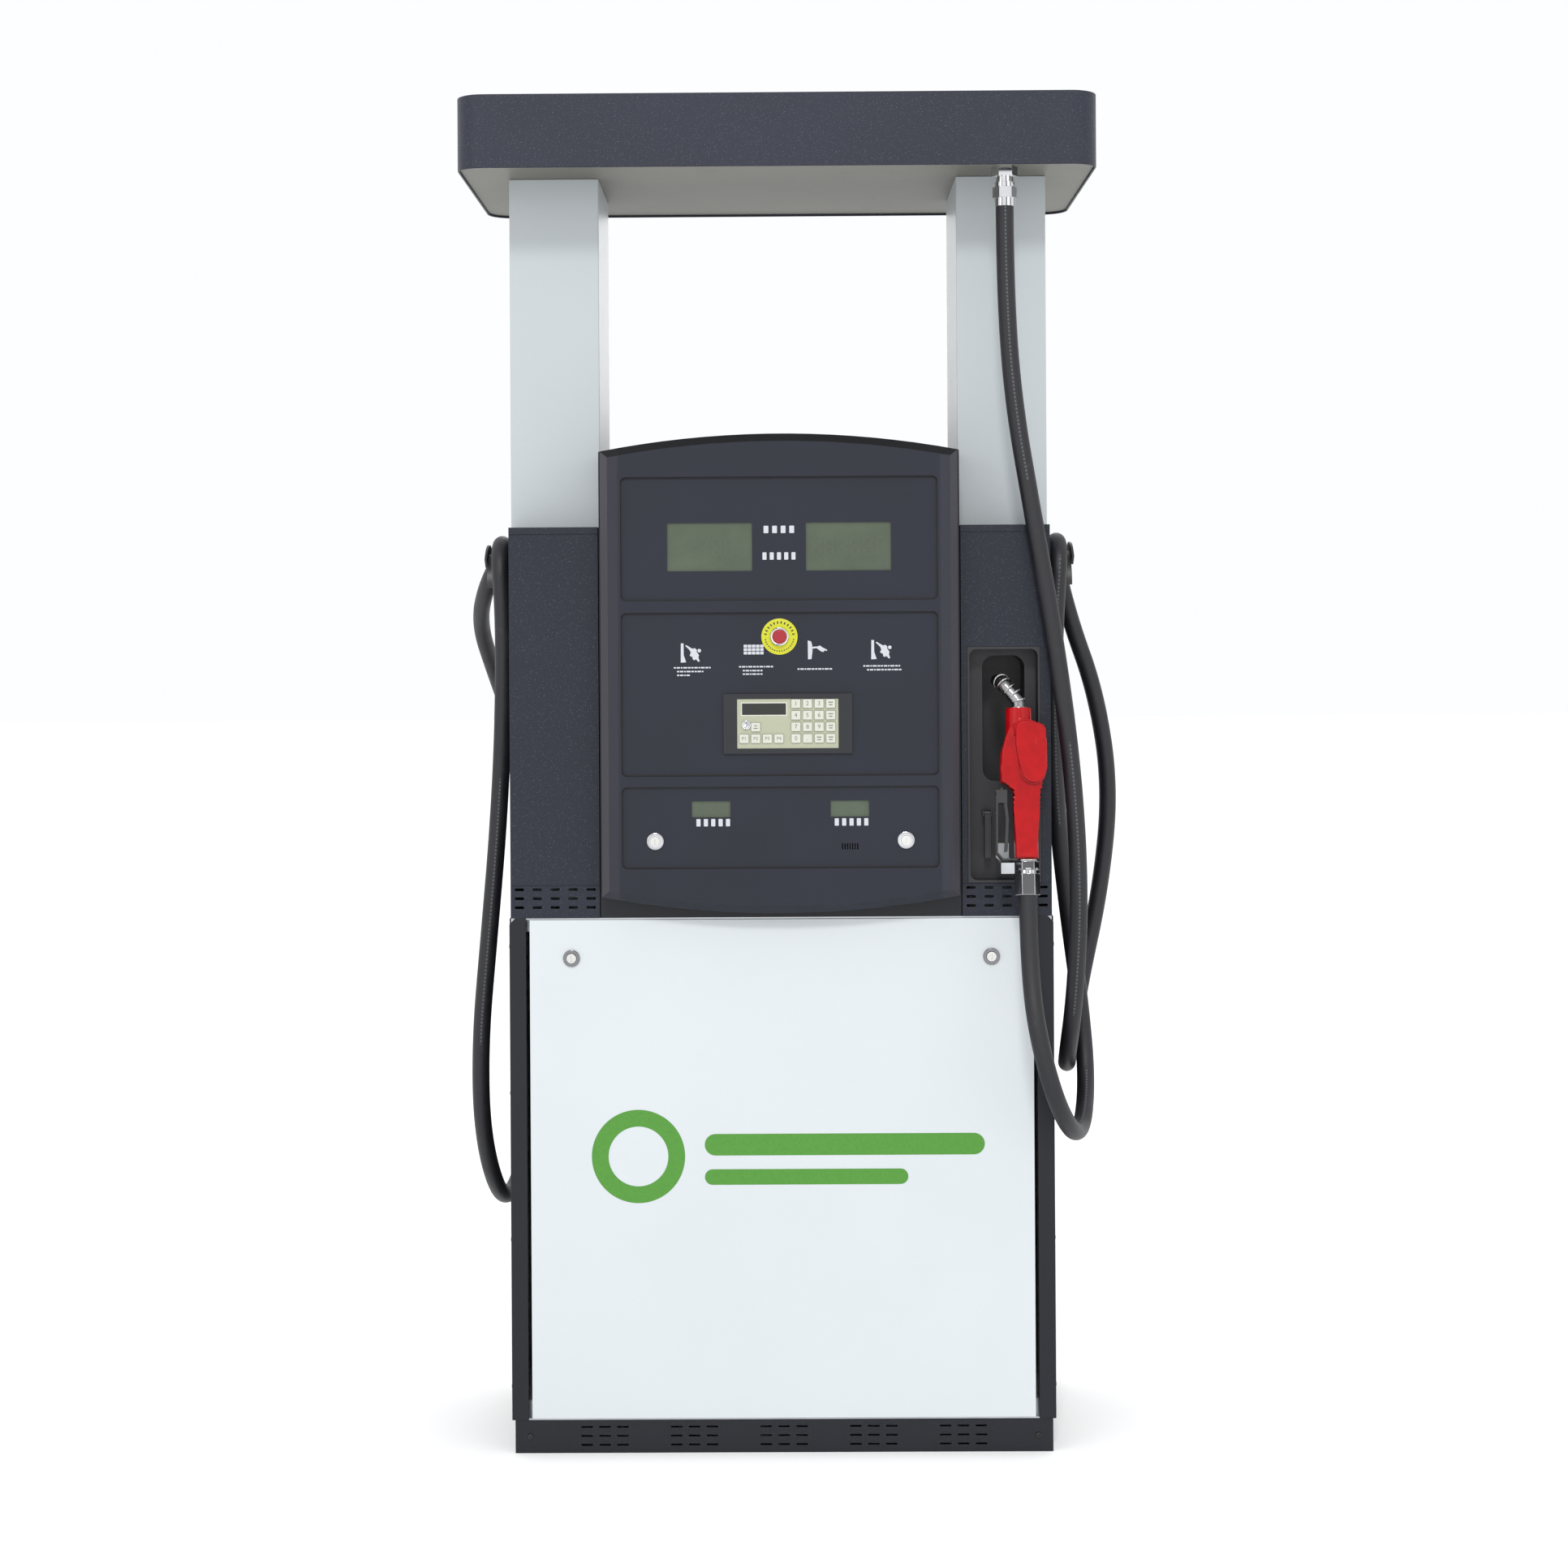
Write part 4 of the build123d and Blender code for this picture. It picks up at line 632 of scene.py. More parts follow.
def grid_tree():
    """A template set out in rows and columns on a face that looks along -Y."""
    tree, ids, start, end = new_tree("rows_and_columns", [
        ("Template", "NodeSocketObject"), ("Columns", "NodeSocketInt"), ("Rows", "NodeSocketInt"),
        ("Width", "NodeSocketFloat"), ("Height", "NodeSocketFloat"), ("Centre", "NodeSocketVector"),
        ("Turn", "NodeSocketVector"), ("Finish", "NodeSocketMaterial")])
    grid = tree.nodes.new("GeometryNodeMeshGrid")
    for label, socket in (("Columns", "Vertices X"), ("Rows", "Vertices Y"), ("Width", "Size X"),
                          ("Height", "Size Y")):
        join(tree, start.outputs[label], grid.inputs[socket])
    upright = tree.nodes.new("GeometryNodeTransform")
    upright.inputs["Rotation"].default_value = (math.pi / 2, 0, 0)
    join(tree, grid.outputs["Mesh"], upright.inputs["Geometry"])
    template = tree.nodes.new("GeometryNodeObjectInfo")
    join(tree, start.outputs["Template"], template.inputs["Object"])
    copies = tree.nodes.new("GeometryNodeInstanceOnPoints")
    join(tree, upright.outputs[0], copies.inputs["Points"])
    join(tree, template.outputs["Geometry"], copies.inputs["Instance"])
    place = tree.nodes.new("GeometryNodeTransform")
    join(tree, copies.outputs[0], place.inputs["Geometry"])
    join(tree, start.outputs["Centre"], place.inputs["Translation"])
    join(tree, start.outputs["Turn"], place.inputs["Rotation"])
    finish_tree(tree, place.outputs[0], start, end)
    return tree, ids


def ring_tree():
    """Wire rings threaded along a path, leaning a little, as the turns of a spring do."""
    tree, ids, start, end = new_tree("turns_along_path", [
        ("Path", "NodeSocketObject"), ("Turns", "NodeSocketInt"), ("Radius", "NodeSocketFloat"),
        ("Wire", "NodeSocketFloat"), ("Lean", "NodeSocketFloat"), ("Finish", "NodeSocketMaterial")])
    path = tree.nodes.new("GeometryNodeObjectInfo")
    join(tree, start.outputs["Path"], path.inputs["Object"])
    points = tree.nodes.new("GeometryNodeCurveToPoints")
    join(tree, path.outputs["Geometry"], points.inputs["Curve"])
    join(tree, start.outputs["Turns"], points.inputs["Count"])
    ring = tree.nodes.new("GeometryNodeCurvePrimitiveCircle")
    ring.inputs["Resolution"].default_value = 32
    join(tree, start.outputs["Radius"], ring.inputs["Radius"])
    wire = tree.nodes.new("GeometryNodeCurvePrimitiveCircle")
    wire.inputs["Resolution"].default_value = 8
    join(tree, start.outputs["Wire"], wire.inputs["Radius"])
    tube = tree.nodes.new("GeometryNodeCurveToMesh")
    join(tree, ring.outputs[0], tube.inputs["Curve"])
    join(tree, wire.outputs[0], tube.inputs["Profile Curve"])
    lean = tree.nodes.new("ShaderNodeCombineXYZ")
    join(tree, start.outputs["Lean"], lean.inputs["X"])
    tilted = tree.nodes.new("GeometryNodeTransform")
    join(tree, tube.outputs[0], tilted.inputs["Geometry"])
    join(tree, lean.outputs[0], tilted.inputs["Rotation"])
    copies = tree.nodes.new("GeometryNodeInstanceOnPoints")
    join(tree, points.outputs["Points"], copies.inputs["Points"])
    join(tree, points.outputs["Rotation"], copies.inputs["Rotation"])
    join(tree, tilted.outputs[0], copies.inputs["Instance"])
    finish_tree(tree, copies.outputs[0], start, end)
    return tree, ids


def finish_tree(tree, geometry, start, end):
    real = tree.nodes.new("GeometryNodeRealizeInstances")
    join(tree, geometry, real.inputs[0])
    coat = tree.nodes.new("GeometryNodeSetMaterial")
    join(tree, real.outputs[0], coat.inputs["Geometry"])
    join(tree, start.outputs["Finish"], coat.inputs["Material"])
    join(tree, coat.outputs[0], end.inputs[0])


_trees = {}


def grown(maker, name, paint_name, body, slot, **values):
    """Runs a tree with these inputs and returns its result as a plain mesh piece."""
    if maker not in _trees:
        _trees[maker] = maker()
    tree, ids = _trees[maker]
    carrier = link(name + "_carrier", bpy.data.meshes.new(name))
    modifier = carrier.modifiers.new("nodes", "NODES")
    modifier.node_group = tree
    modifier[ids["Finish"]] = paint(paint_name)
    for label, value in values.items():
        modifier[ids[label]] = value
    piece = settled(carrier, name, paint(paint_name))
    smooth_by_angle(piece.data, 35)
    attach(piece, body)
    return piece


def grown_pairs(name, paint_name, body, slot, template, columns, rows, width, height, centre, turn=0.0):
    return grown(grid_tree, name, paint_name, body, slot, Template=template, Columns=columns, Rows=rows,
                 Width=width, Height=height, Centre=centre, Turn=(0.0, 0.0, turn))


def path_object(name, kind, points, resolution=12):
    """A curve with these control points; a smooth one starts and ends on them."""
    curve = bpy.data.curves.new(name, "CURVE")
    curve.dimensions = "3D"
    curve.resolution_u = resolution
    spline = curve.splines.new(kind)
    spline.points.add(len(points) - 1)
    for point, at in zip(spline.points, points):
        point.co = (*at, 1.0)
    if kind == "NURBS":
        spline.order_u = 3
        spline.use_endpoint_u = True
    path = bpy.data.objects.new(name, curve)
    bpy.context.scene.collection.objects.link(path)
    return path


def template_object(name, bm):
    bmesh.ops.recalc_face_normals(bm, faces=bm.faces)
    return link(name, mesh_of(name, bm))


def screw_template():
    """A domed screw head with a hexagon socket, its seat at the origin and its face towards -Y."""
    r = sizes().screw_width / 2
    bm = bmesh.new()
    profile = [(r, 0.0), (r, -0.35 * r), (0.86 * r, -0.62 * r), (0.55 * r, -0.72 * r), (0.45 * r, -0.72 * r)]
    rings = []
    for radius, y in profile:
        rings.append([bm.verts.new((radius * math.cos(math.pi * k / 12), y,
                                    radius * math.sin(math.pi * k / 12))) for k in range(24)])
    socket = []
    for y in (-0.72 * r, -0.25 * r):
        socket.append([bm.verts.new((0.42 * r * math.cos(math.pi * k / 3), y,
                                     0.42 * r * math.sin(math.pi * k / 3))) for k in range(6)])
    for first, second in zip(rings[:-1], rings[1:]):
        for k in range(24):
            bm.faces.new((first[k], first[(k + 1) % 24], second[(k + 1) % 24], second[k]))
    for k in range(6):
        outer = [rings[-1][(4 * k + n) % 24] for n in range(5)]
        bm.faces.new(outer + [socket[0][(k + 1) % 6], socket[0][k]])
        bm.faces.new((socket[0][k], socket[0][(k + 1) % 6], socket[1][(k + 1) % 6], socket[1][k]))
    bm.faces.new(socket[1])
    bm.faces.new(rings[0])
    return template_object("screw_template", bm)


# ------------------------------------------------------------------ hoses
FRONT_HOSE_ROUTE = [
    (380, -218, 2080), (380, -218, 1950), (391, -224, 1760), (424, -230, 1560), (460, -236, 1345),
    (487, -236, 1135), (498, -228, 930), (491, -208, 760), (484, -120, 632), (502, 20, 618),
    (534, 112, 740), (574, 128, 910), (592, 124, 1090), (566, 110, 1260), (514, 86, 1400),
    (484, 76, 1529), (484, -76, 1529), (474, -84, 1400), (469, -82, 1230), (476, -66, 1060),
    (496, -44, 890), (519, -26, 730), (526, -70, 590), (498, -210, 520), (452, -326, 585),
    (416, -336, 710), (406, -298.3, 828.3), (406, -282.98, 937.25)]
REAR_HOSE_ROUTE = [
    (-380, 218, 2080), (-380, 218, 1950), (-394, 224, 1760), (-428, 230, 1560), (-460, 234, 1370),
    (-476, 236, 1200), (-482, 240, 1050), (-482, 280, 915), (-480, 378, 858), (-482, 474, 912),
    (-490, 492, 1050), (-508, 440, 1190), (-536, 344, 1300), (-554, 240, 1392), (-528, 132, 1462),
    (-484, 76, 1529), (-484, -76, 1529), (-474, -84, 1400), (-476, -86, 1220), (-486, -84, 1040),
    (-504, -76, 850), (-522, -62, 670), (-524, -24, 500), (-506, 84, 366), (-490, 230, 352),
    (-470, 346, 452), (-430, 374, 600), (-410, 330, 730), (-406, 298.3, 828.3), (-406, 282.98, 937.25)]
HOSE_SIDES = 24


def smooth_line(name, route):
    """Points along the smooth curve that has the route as its control points."""
    holder = path_object(name + "_line", "NURBS", [(x * MM, y * MM, z * MM) for x, y, z in route], 24)
    graph = bpy.context.evaluated_depsgraph_get()
    line = bpy.data.meshes.new_from_object(holder.evaluated_get(graph), depsgraph=graph)
    points = [v.co.copy() for v in line.vertices]
    bpy.data.meshes.remove(line)
    bpy.data.objects.remove(holder)
    return points


def tube_along(points, radius, sides):
    """A closed tube with UVs: u is metres along it, v once round it."""
    bm = bmesh.new()
    layer = bm.loops.layers.uv.new("hose")
    tangent = (points[1] - points[0]).normalized()
    up = Vector((1, 0, 0))
    up = (up - tangent * up.dot(tangent)).normalized()
    rings, run, along = [], 0.0, []
    for k, p in enumerate(points):
        ahead = points[min(k + 1, len(points) - 1)] - points[max(k - 1, 0)]
        new_tangent = ahead.normalized()
        up = (tangent.rotation_difference(new_tangent) @ up).normalized()
        up = (up - new_tangent * up.dot(new_tangent)).normalized()
        tangent = new_tangent
        across = tangent.cross(up)
        if k:
            run += (p - points[k - 1]).length
        along.append(run)
        rings.append([bm.verts.new(p + radius * (up * math.cos(2 * math.pi * j / sides)
                                                + across * math.sin(2 * math.pi * j / sides)))
                      for j in range(sides)])
    for k in range(len(points) - 1):
        for j in range(sides):
            n = (j + 1) % sides
            face = bm.faces.new((rings[k][j], rings[k][n], rings[k + 1][n], rings[k + 1][j]))
            corners = ((along[k], j / sides), (along[k], (j + 1) / sides), (along[k + 1], (j + 1) / sides),
                       (along[k + 1], j / sides))
            for loop, uv in zip(face.loops, corners):
                loop[layer].uv = uv
    for ring in (rings[0], rings[-1]):
        cap = bm.faces.new(ring)
        for loop in cap.loops:
            loop[layer].uv = (0.5, 0.75)
    bmesh.ops.recalc_face_normals(bm, faces=bm.faces)
    return bm, run


def make_hose(side, route):
    points = smooth_line(side + "_hose", route)
    bm, length = tube_along(points, sizes().hose_width / 2, HOSE_SIDES)
    mesh = mesh_of(side + "_hose_cover", bm)
    smooth_by_angle(mesh, 50)
    piece = link(side + "_hose_cover", mesh, paint("hose"))
    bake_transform(piece)
    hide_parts(side + "_hose")


class DISPENSER_OT_hoses(bpy.types.Operator):
    """Make both hoses from their routes"""
    bl_idname = "dispenser.hoses"
    bl_label = "Hoses"

    def execute(self, context):
        make_hose("front", FRONT_HOSE_ROUTE)
        make_hose("rear", REAR_HOSE_ROUTE)
        return {"FINISHED"}


# ------------------------------------------------------------------ stage
class DISPENSER_OT_stage(bpy.types.Operator):
    """Make the camera, the floor and the studio lights"""
    bl_idname = "dispenser.stage"
    bl_label = "Stage"

    def execute(self, context):
        scene = context.scene
        yaw, pitch, roll = 0.0073, -0.0013, -0.0060
        place = Vector((0.0055, -4.713, 1.3655))
        turn = (Matrix.Rotation(yaw, 4, "Z") @ Matrix.Rotation(math.pi / 2 + pitch, 4, "X")
                @ Matrix.Rotation(roll, 4, "Z"))
        camera = bpy.data.cameras.new("camera")
        camera.sensor_width = 36.0
        camera.lens = 61.8
        camera.shift_x = 0.0133
        camera.shift_y = -0.0919
        camera.clip_end = 60
        holder = bpy.data.objects.new("camera", camera)
        holder.matrix_world = Matrix.Translation(place) @ turn
        scene.collection.objects.link(holder)
        scene.camera = holder
        self.floor()
        for name, at, aim, size, power in (
                ("left_light", (-3.0, -3.8, 2.4), (0, 0, 1.2), 2.2, 16),
                ("right_light", (3.2, -3.6, 2.0), (0, 0, 1.2), 2.2, 10),
                ("low_light", (0.0, -4.6, 0.7), (0, 0, 1.9), 2.2, 8),
                ("back_light", (0.5, 4.2, 3.2), (0, 0, 1.3), 2.4, 30)):
            lamp = bpy.data.lights.new(name, "AREA")
            lamp.size = size
            lamp.energy = power
            lamp_holder = bpy.data.objects.new(name, lamp)
            direction = Vector(aim) - Vector(at)
            lamp_holder.matrix_world = (Matrix.Translation(at)
                                        @ direction.to_track_quat("-Z", "Y").to_matrix().to_4x4())
            scene.collection.objects.link(lamp_holder)
        sun = bpy.data.lights.new("key_light", "SUN")
        sun.energy = 1.25
        sun.angle = math.radians(9)
        high = bpy.data.objects.new("key_light", sun)
        high.matrix_world = Vector((0.05, 0.77, -0.66)).to_track_quat("-Z", "Y").to_matrix().to_4x4()
        scene.collection.objects.link(high)
        world = bpy.data.worlds.new("studio")
        world.use_nodes = True
        background = world.node_tree.nodes["Background"]
        background.inputs["Color"].default_value = (0.985, 0.99, 1.0, 1)
        background.inputs["Strength"].default_value = 1.0
        scene.world = world
        scene.view_settings.view_transform = "Standard"
        return {"FINISHED"}

    def floor(self):
        bm = bmesh.new()
        bmesh.ops.create_grid(bm, x_segments=2, y_segments=2, size=40)
        mesh = mesh_of("floor", bm)
        f = Finish("floor_paper")
        tone = f.noise(1.5, 3.0)
        base = f.mix(tone, (0.93, 0.93, 0.93, 1), (0.96, 0.96, 0.96, 1))
        f.set(base_color=base, roughness=0.8 + tone * 0.1)
        floor = link("floor", mesh, f.material)


# ------------------------------------------------------------------ shells
SOFT_SHELLS = [
    ("canopy_shell", "canopy", 0.002), ("canopy_underside", "underside", 0.0006),
    ("left_column", "column", 0.002), ("right_column", "column", 0.002),
    ("left_cowl", "cowl", 0.0016), ("right_cowl", "cowl", 0.0016),
    ("side_panels", "trim", 0.0012), ("base_plinth", "trim", 0.0008),
    ("front_door", "door", 0.0016), ("rear_door", "door", 0.0016),
    ("front_bezel", "bezel", 0.0009), ("rear_bezel", "bezel", 0.0009),
    ("front_nozzle_boot", "boot", 0.0016), ("rear_nozzle_boot", "boot", 0.0016),
    ("front_boot_switch", "black", 0.002), ("rear_boot_switch", "black", 0.002),
    ("head_box", "trim", 0.0008)]
DOOR_RING_X, DOOR_RING_Z = -0.241, 0.497
DOOR_BARS = [(0.104, 0.516, 0.468, 0.036), (0.040, 0.462, 0.340, 0.026)]
BAR_T = 0.0006
BRACKET_X, BRACKET_HALF_W, BRACKET_BACK = 0.373, 0.0115, -0.1765
BRACKET_LOW, BRACKET_HIGH = 0.965, 1.02


class DISPENSER_OT_shells(bpy.types.Operator):
    """Make the painted sheet pieces: canopy, columns, cowls, panels, doors, bezels and boots"""
    bl_idname = "dispenser.shells"
    bl_label = "Painted shells"

    def execute(self, context):
        for node, coat, width in SOFT_SHELLS:
            piece = softened(node, coat, width)
            if node.endswith("nozzle_boot"):
                self.bright_bracket(piece, node.split("_")[0])
        self.screws()
        self.door_bars()
        return {"FINISHED"}

    def bright_bracket(self, boot, side):
        """The rest bracket in the boot is bare steel."""
        boot.data.materials.append(paint("galvanised"))
        back = SIDES[side].inverted()
        for face in boot.data.polygons:
            x, y, z = back @ face.center
            beside = abs(x - BRACKET_X) < BRACKET_HALF_W
            if beside and y < BRACKET_BACK and BRACKET_LOW < z < BRACKET_HIGH:
                face.material_index = 1

    def screws(self):
        template = screw_template()
        plinth_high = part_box("base_plinth")[1]
        panel_low, panel_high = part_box("side_panels")
        for side, sign, turn in (("front", -1, 0.0), ("rear", 1, math.pi)):
            y = sign * plinth_high.y
            grown_pairs(f"{side}_plinth_screws", "black", "root", "plinth_black", template, 2, 1,
                        plinth_high.x * 2 - 0.05, 0, (0, y, plinth_high.z / 2), turn)
        for side, sign in (("left", -1), ("right", 1)):
            grown_pairs(f"{side}_panel_screws", "black", "root", "panel_black", template, 2, 4,
                        panel_high.y * 2 - 0.06, panel_high.z - panel_low.z - 0.1,
                        (sign * panel_high.x, 0, (panel_low.z + panel_high.z) / 2), sign * math.pi / 2)
        bpy.data.objects.remove(template)

    def door_bars(self):
        """A plain ring and two plain bars in place of any name."""
        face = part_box("front_door")[0].y
        for side in SIDES:
            bm = bmesh.new()
            bm_disc(bm, (DOOR_RING_X, face - BAR_T / 2, DOOR_RING_Z), 0.078, BAR_T, 96, 0.050)
            for x, z, w, h in DOOR_BARS:
                outline_solid(bm, rounded(x, z, w, h, h * 0.499, 8), face - BAR_T / 2, BAR_T)
            finished(bm, f"{side}_door_bars", "accent", f"{side}_door", side)


# ------------------------------------------------------------------ display side
SEGMENTS = ((0, 1, 1), (0, 0, 1), (0, -1, 1), (-1, 0.5, 0), (1, 0.5, 0), (-1, -0.5, 0), (1, -0.5, 0))


def digit_template(width, height):
    """The seven segments of an unlit figure, facing -Y."""
    bm = bmesh.new()
    stroke = width * 0.16
    for sx, sz, flat in SEGMENTS:
        x, z = sx * width / 2, sz * height / 2
        half_l = (width if flat else height / 2) / 2 - stroke * 0.75
        tip = stroke / 2
        shape = [(-half_l, 0), (-half_l + tip, tip), (half_l - tip, tip), (half_l, 0), (half_l - tip, -tip),
                 (-half_l + tip, -tip)]
        points = [(x + a, z + b) if flat else (x + b, z + a) for a, b in shape]
        outline_solid(bm, points, -0.00012, 0.0001)
    return template_object("figure_template", bm)


def bezel_planes():
    """Depths of the bezel's front and of its recess floor, on the front side."""
    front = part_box("front_bezel")[0].y
    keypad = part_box("front_keypad_panel")[0].y
    return front, keypad + 0.005


POST_MARK = [(-16.7, 16), (-12.2, 16), (-12, -3.7), (-8, -15.4), (-17, -15.9)]
NOZZLE_MARK = [(-9.5, 11.8), (-7.7, 13.1), (-2, 9.5), (2.4, 7), (6.4, 8), (9.6, 5.4), (9.6, 1.7),
               (13.3, -3.6), (12.2, -7.6), (14.4, -13.7), (12.2, -14.8), (8, -10.2), (5.9, -12),
               (3.2, -11), (2.1, -6.3), (-1, -5.7), (-2.1, -3.6), (-0.5, -0.4), (-1, 2.8), (-3.7, 6.5)]
PLATE_MARK = [(46.8, 1358.4), (52.1, 1356.8), (54, 1351), (54.5, 1340.3), (52.9, 1327.6), (47.1, 1327)]
HAND_MARK = [(54, 1347.8), (62.8, 1348.3), (66.7, 1349.9), (70.7, 1347), (79, 1342.5), (78.4, 1340.9),
             (74.2, 1341.7), (73.4, 1339.3), (69.4, 1339.8), (65.4, 1342.5), (61.4, 1345.6), (54, 1344.6)]
CAPTION_ROWS = [(-175.4, -114.3, 1314.3), (-170, -125, 1308), (-170, -148.8, 1301.8), (-67.3, -10.8, 1315.4),
                (-61.2, -26.2, 1309), (-61.2, -26.2, 1303.2), (29.6, 88.5, 1311.1), (138.4, 199.5, 1315.6),
                (144.5, 203.5, 1309.3)]
FIGURE_ROWS = [("amount", 1.514, 6, 0.013, 0.030, 0.0215), ("price", 1.0795, 4, 0.008, 0.016, 0.0135)]
HEADING_ROWS = [(0.0, 1.5425, 4, 0.0142), (0.0, 1.4985, 5, 0.0120), (-0.1115, 1.0575, 5, 0.0122),
                (0.1175, 1.0575, 5, 0.0122)]
NOZZLE_MARK_PLACES = [(-0.1467, 1.3387), (0.1687, 1.3424)]
GRID_MARK_X, GRID_MARK_Z = -0.0429, 1.3438
WINDOW_X = 0.115
BEZEL_LOCK_X, BEZEL_LOCK_Z = 0.2076, 1.027
CAPTION_BLOCKS = (0.0036, 0.0058, 0.0026, 0.0067, 0.0045)
STOP_DOT_ARCS = ((170, 10, 12, 0.0235, 0.0040), (192, 348, 17, 0.0240, 0.0022))
PRINT_LIFT, PRINT_T = 0.0003, 0.0005
RECESS_W = 0.5244
SHADE_LINE_W = 0.0056         # both sides of a painted shade line together
RECESS_ROWS = [(1.425, 1.630), (1.1345, 1.4055), (0.9815, 1.117)]


def recess_shade_lines(side):
    """A dark strip of painted shade round each sunk field of the display panel, where its step lies in
    shade.
    """
    y = bezel_planes()[1] - PRINT_LIFT
    bm = bmesh.new()
    for low, high in RECESS_ROWS:
        middle, tall = (low + high) / 2, high - low - 0.0006
        outer = rounded(0, middle, RECESS_W, tall, 0.0088, 6)
        inner = rounded(0, middle, RECESS_W - SHADE_LINE_W, tall - SHADE_LINE_W, 0.0060, 6)
        rims = [[bm.verts.new((x, y, z)) for x, z in outline] for outline in (outer, inner)]
        count = len(outer)
        for k in range(count):
            j = (k + 1) % count
            bm.faces.new((rims[0][k], rims[0][j], rims[1][j], rims[1][k]))
    sheet = bmesh.ops.extrude_face_region(bm, geom=bm.faces[:])
    back = [v for v in sheet["geom"] if isinstance(v, bmesh.types.BMVert)]
    bmesh.ops.translate(bm, vec=(0, PRINT_LIFT, 0), verts=back)
    finished(bm, f"{side}_recess_lines", "joint", f"{side}_bezel", side)


class DISPENSER_OT_displays(bpy.types.Operator):
    """Make the displays, marks, locks and stop buttons of both faces"""
    bl_idname = "dispenser.displays"
    bl_label = "Displays"

    def execute(self, context):
        for side in SIDES:
            recess_shade_lines(side)
            repaint(f"{side}_display_glass", "lcd")
            repaint(f"{side}_display_boards", "board")
            self.figures(side)
            self.marks(side)
            self.stop(side)
            for place in ("left", "right"):
                softened(f"{side}_bezel_lock_{place}", "steel", 0.0004)
                softened(f"{side}_door_lock_{place}", "steel", 0.0004)
            softened(f"{side}_door_lock_barrels", "ring", 0.0008)
            self.lock_rings(side)
        return {"FINISHED"}

    def figures(self, side):
        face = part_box("front_display_glass")[0].y
        turn = 0.0 if side == "front" else math.pi
        for name, z, count, width, height, pitch in FIGURE_ROWS:
            template = digit_template(width, height)
            for label, x in (("left", -WINDOW_X), ("right", WINDOW_X)):
                centre = SIDES[side] @ Vector((x, face, z))
                grown_pairs(f"{side}_{name}_{label}", "segment", f"{side}_bezel", "lcd_glass", template,
                            count, 1, pitch * (count - 1), 0, tuple(centre), turn)
            bpy.data.objects.remove(template)

    def marks(self, side):
        """Plain pictograms, and short blocks where a maker would print words."""
        y = bezel_planes()[1] - PRINT_LIFT
        bm = bmesh.new()
        for x, z in NOZZLE_MARK_PLACES:
            for outline in (POST_MARK, NOZZLE_MARK):
                outline_solid(bm, [(x + a * MM, z + b * MM) for a, b in outline], y, PRINT_T)
            outline_solid(bm, rounded(x + 0.0138, z + 0.0038, 0.0056, 0.0056, 0.002, 3), y, PRINT_T)
        for row in range(3):
            for column in range(5):
                x, z = GRID_MARK_X + (column - 2) * 0.0068, GRID_MARK_Z + (row - 1) * 0.0057
                outline_solid(bm, rounded(x, z, 0.0058, 0.0047, 0.0006, 2), y, PRINT_T)
        for outline in (PLATE_MARK, HAND_MARK):
            outline_solid(bm, [(a * MM, b * MM) for a, b in outline], y, PRINT_T)
        for start, end, z in CAPTION_ROWS:
            self.caption(bm, start * MM, end * MM, z * MM, y)
        for x, z, count, pitch in HEADING_ROWS:
            for k in range(count):
                at = x + (k - (count - 1) / 2) * pitch
                outline_solid(bm, rounded(at, z, pitch * 0.56, 0.0122, 0.001, 3), y, PRINT_T)
        finished(bm, f"{side}_face_marks", "ink", f"{side}_bezel", side)

    def caption(self, bm, start, end, z, y):
        """A row of small blocks of mixed lengths."""
        x, k = start, 0
        while x < end - 0.002:
            w = min(CAPTION_BLOCKS[k % len(CAPTION_BLOCKS)], end - x)
            outline_solid(bm, rounded(x + w / 2, z, w, 0.0024, 0.0004, 2), y, PRINT_T)
            x += w + 0.0012
            k += 1

    def stop(self, side):
        floor = bezel_planes()[1]
        z = (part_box("front_stop_button")[0].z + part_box("front_stop_button")[1].z) / 2
        bm = bmesh.new()
        bm_disc(bm, (0, floor - 0.0007, z), 0.030, 0.0007, 64, 0.0155, 0.0003)
        finished(bm, f"{side}_stop_label", "label", f"{side}_bezel", side)
        bm = bmesh.new()
        bm_disc(bm, (0, floor - 0.0066, z), 0.0153, 0.0066, 48, 0.01215, 0.0015)
        finished(bm, f"{side}_stop_ring", "chrome", f"{side}_bezel", side)
        bm = bmesh.new()
        for start, end, count, reach, tall in STOP_DOT_ARCS:
            for k in range(count):
                a = math.radians(start + (end - start) * k / (count - 1))
                half = 0.0011 if tall > 0.003 else 0.0009
                out, side_way = Vector((math.cos(a), math.sin(a))), Vector((-math.sin(a), math.cos(a)))
                corners = [out * (reach + u * tall / 2) + side_way * (v * half)
                           for u, v in ((1, 1), (1, -1), (-1, -1), (-1, 1))]
                outline_solid(bm, [(c.x, z + c.y) for c in corners], floor - 0.0009, 0.0004)
        finished(bm, f"{side}_stop_dots", "dark_ink", f"{side}_bezel", side)
        softened(f"{side}_stop_button", "button", 0.0006)

    def lock_rings(self, side):
        floor = bezel_planes()[1]
        bm = bmesh.new()
        for x in (-BEZEL_LOCK_X, BEZEL_LOCK_X):
            bm_disc(bm, (x, floor - 0.0034, BEZEL_LOCK_Z), 0.0142, 0.0032, 48, 0.0083, 0.0012)
        finished(bm, f"{side}_bezel_lock_rings", "bright_ring", f"{side}_bezel", side)


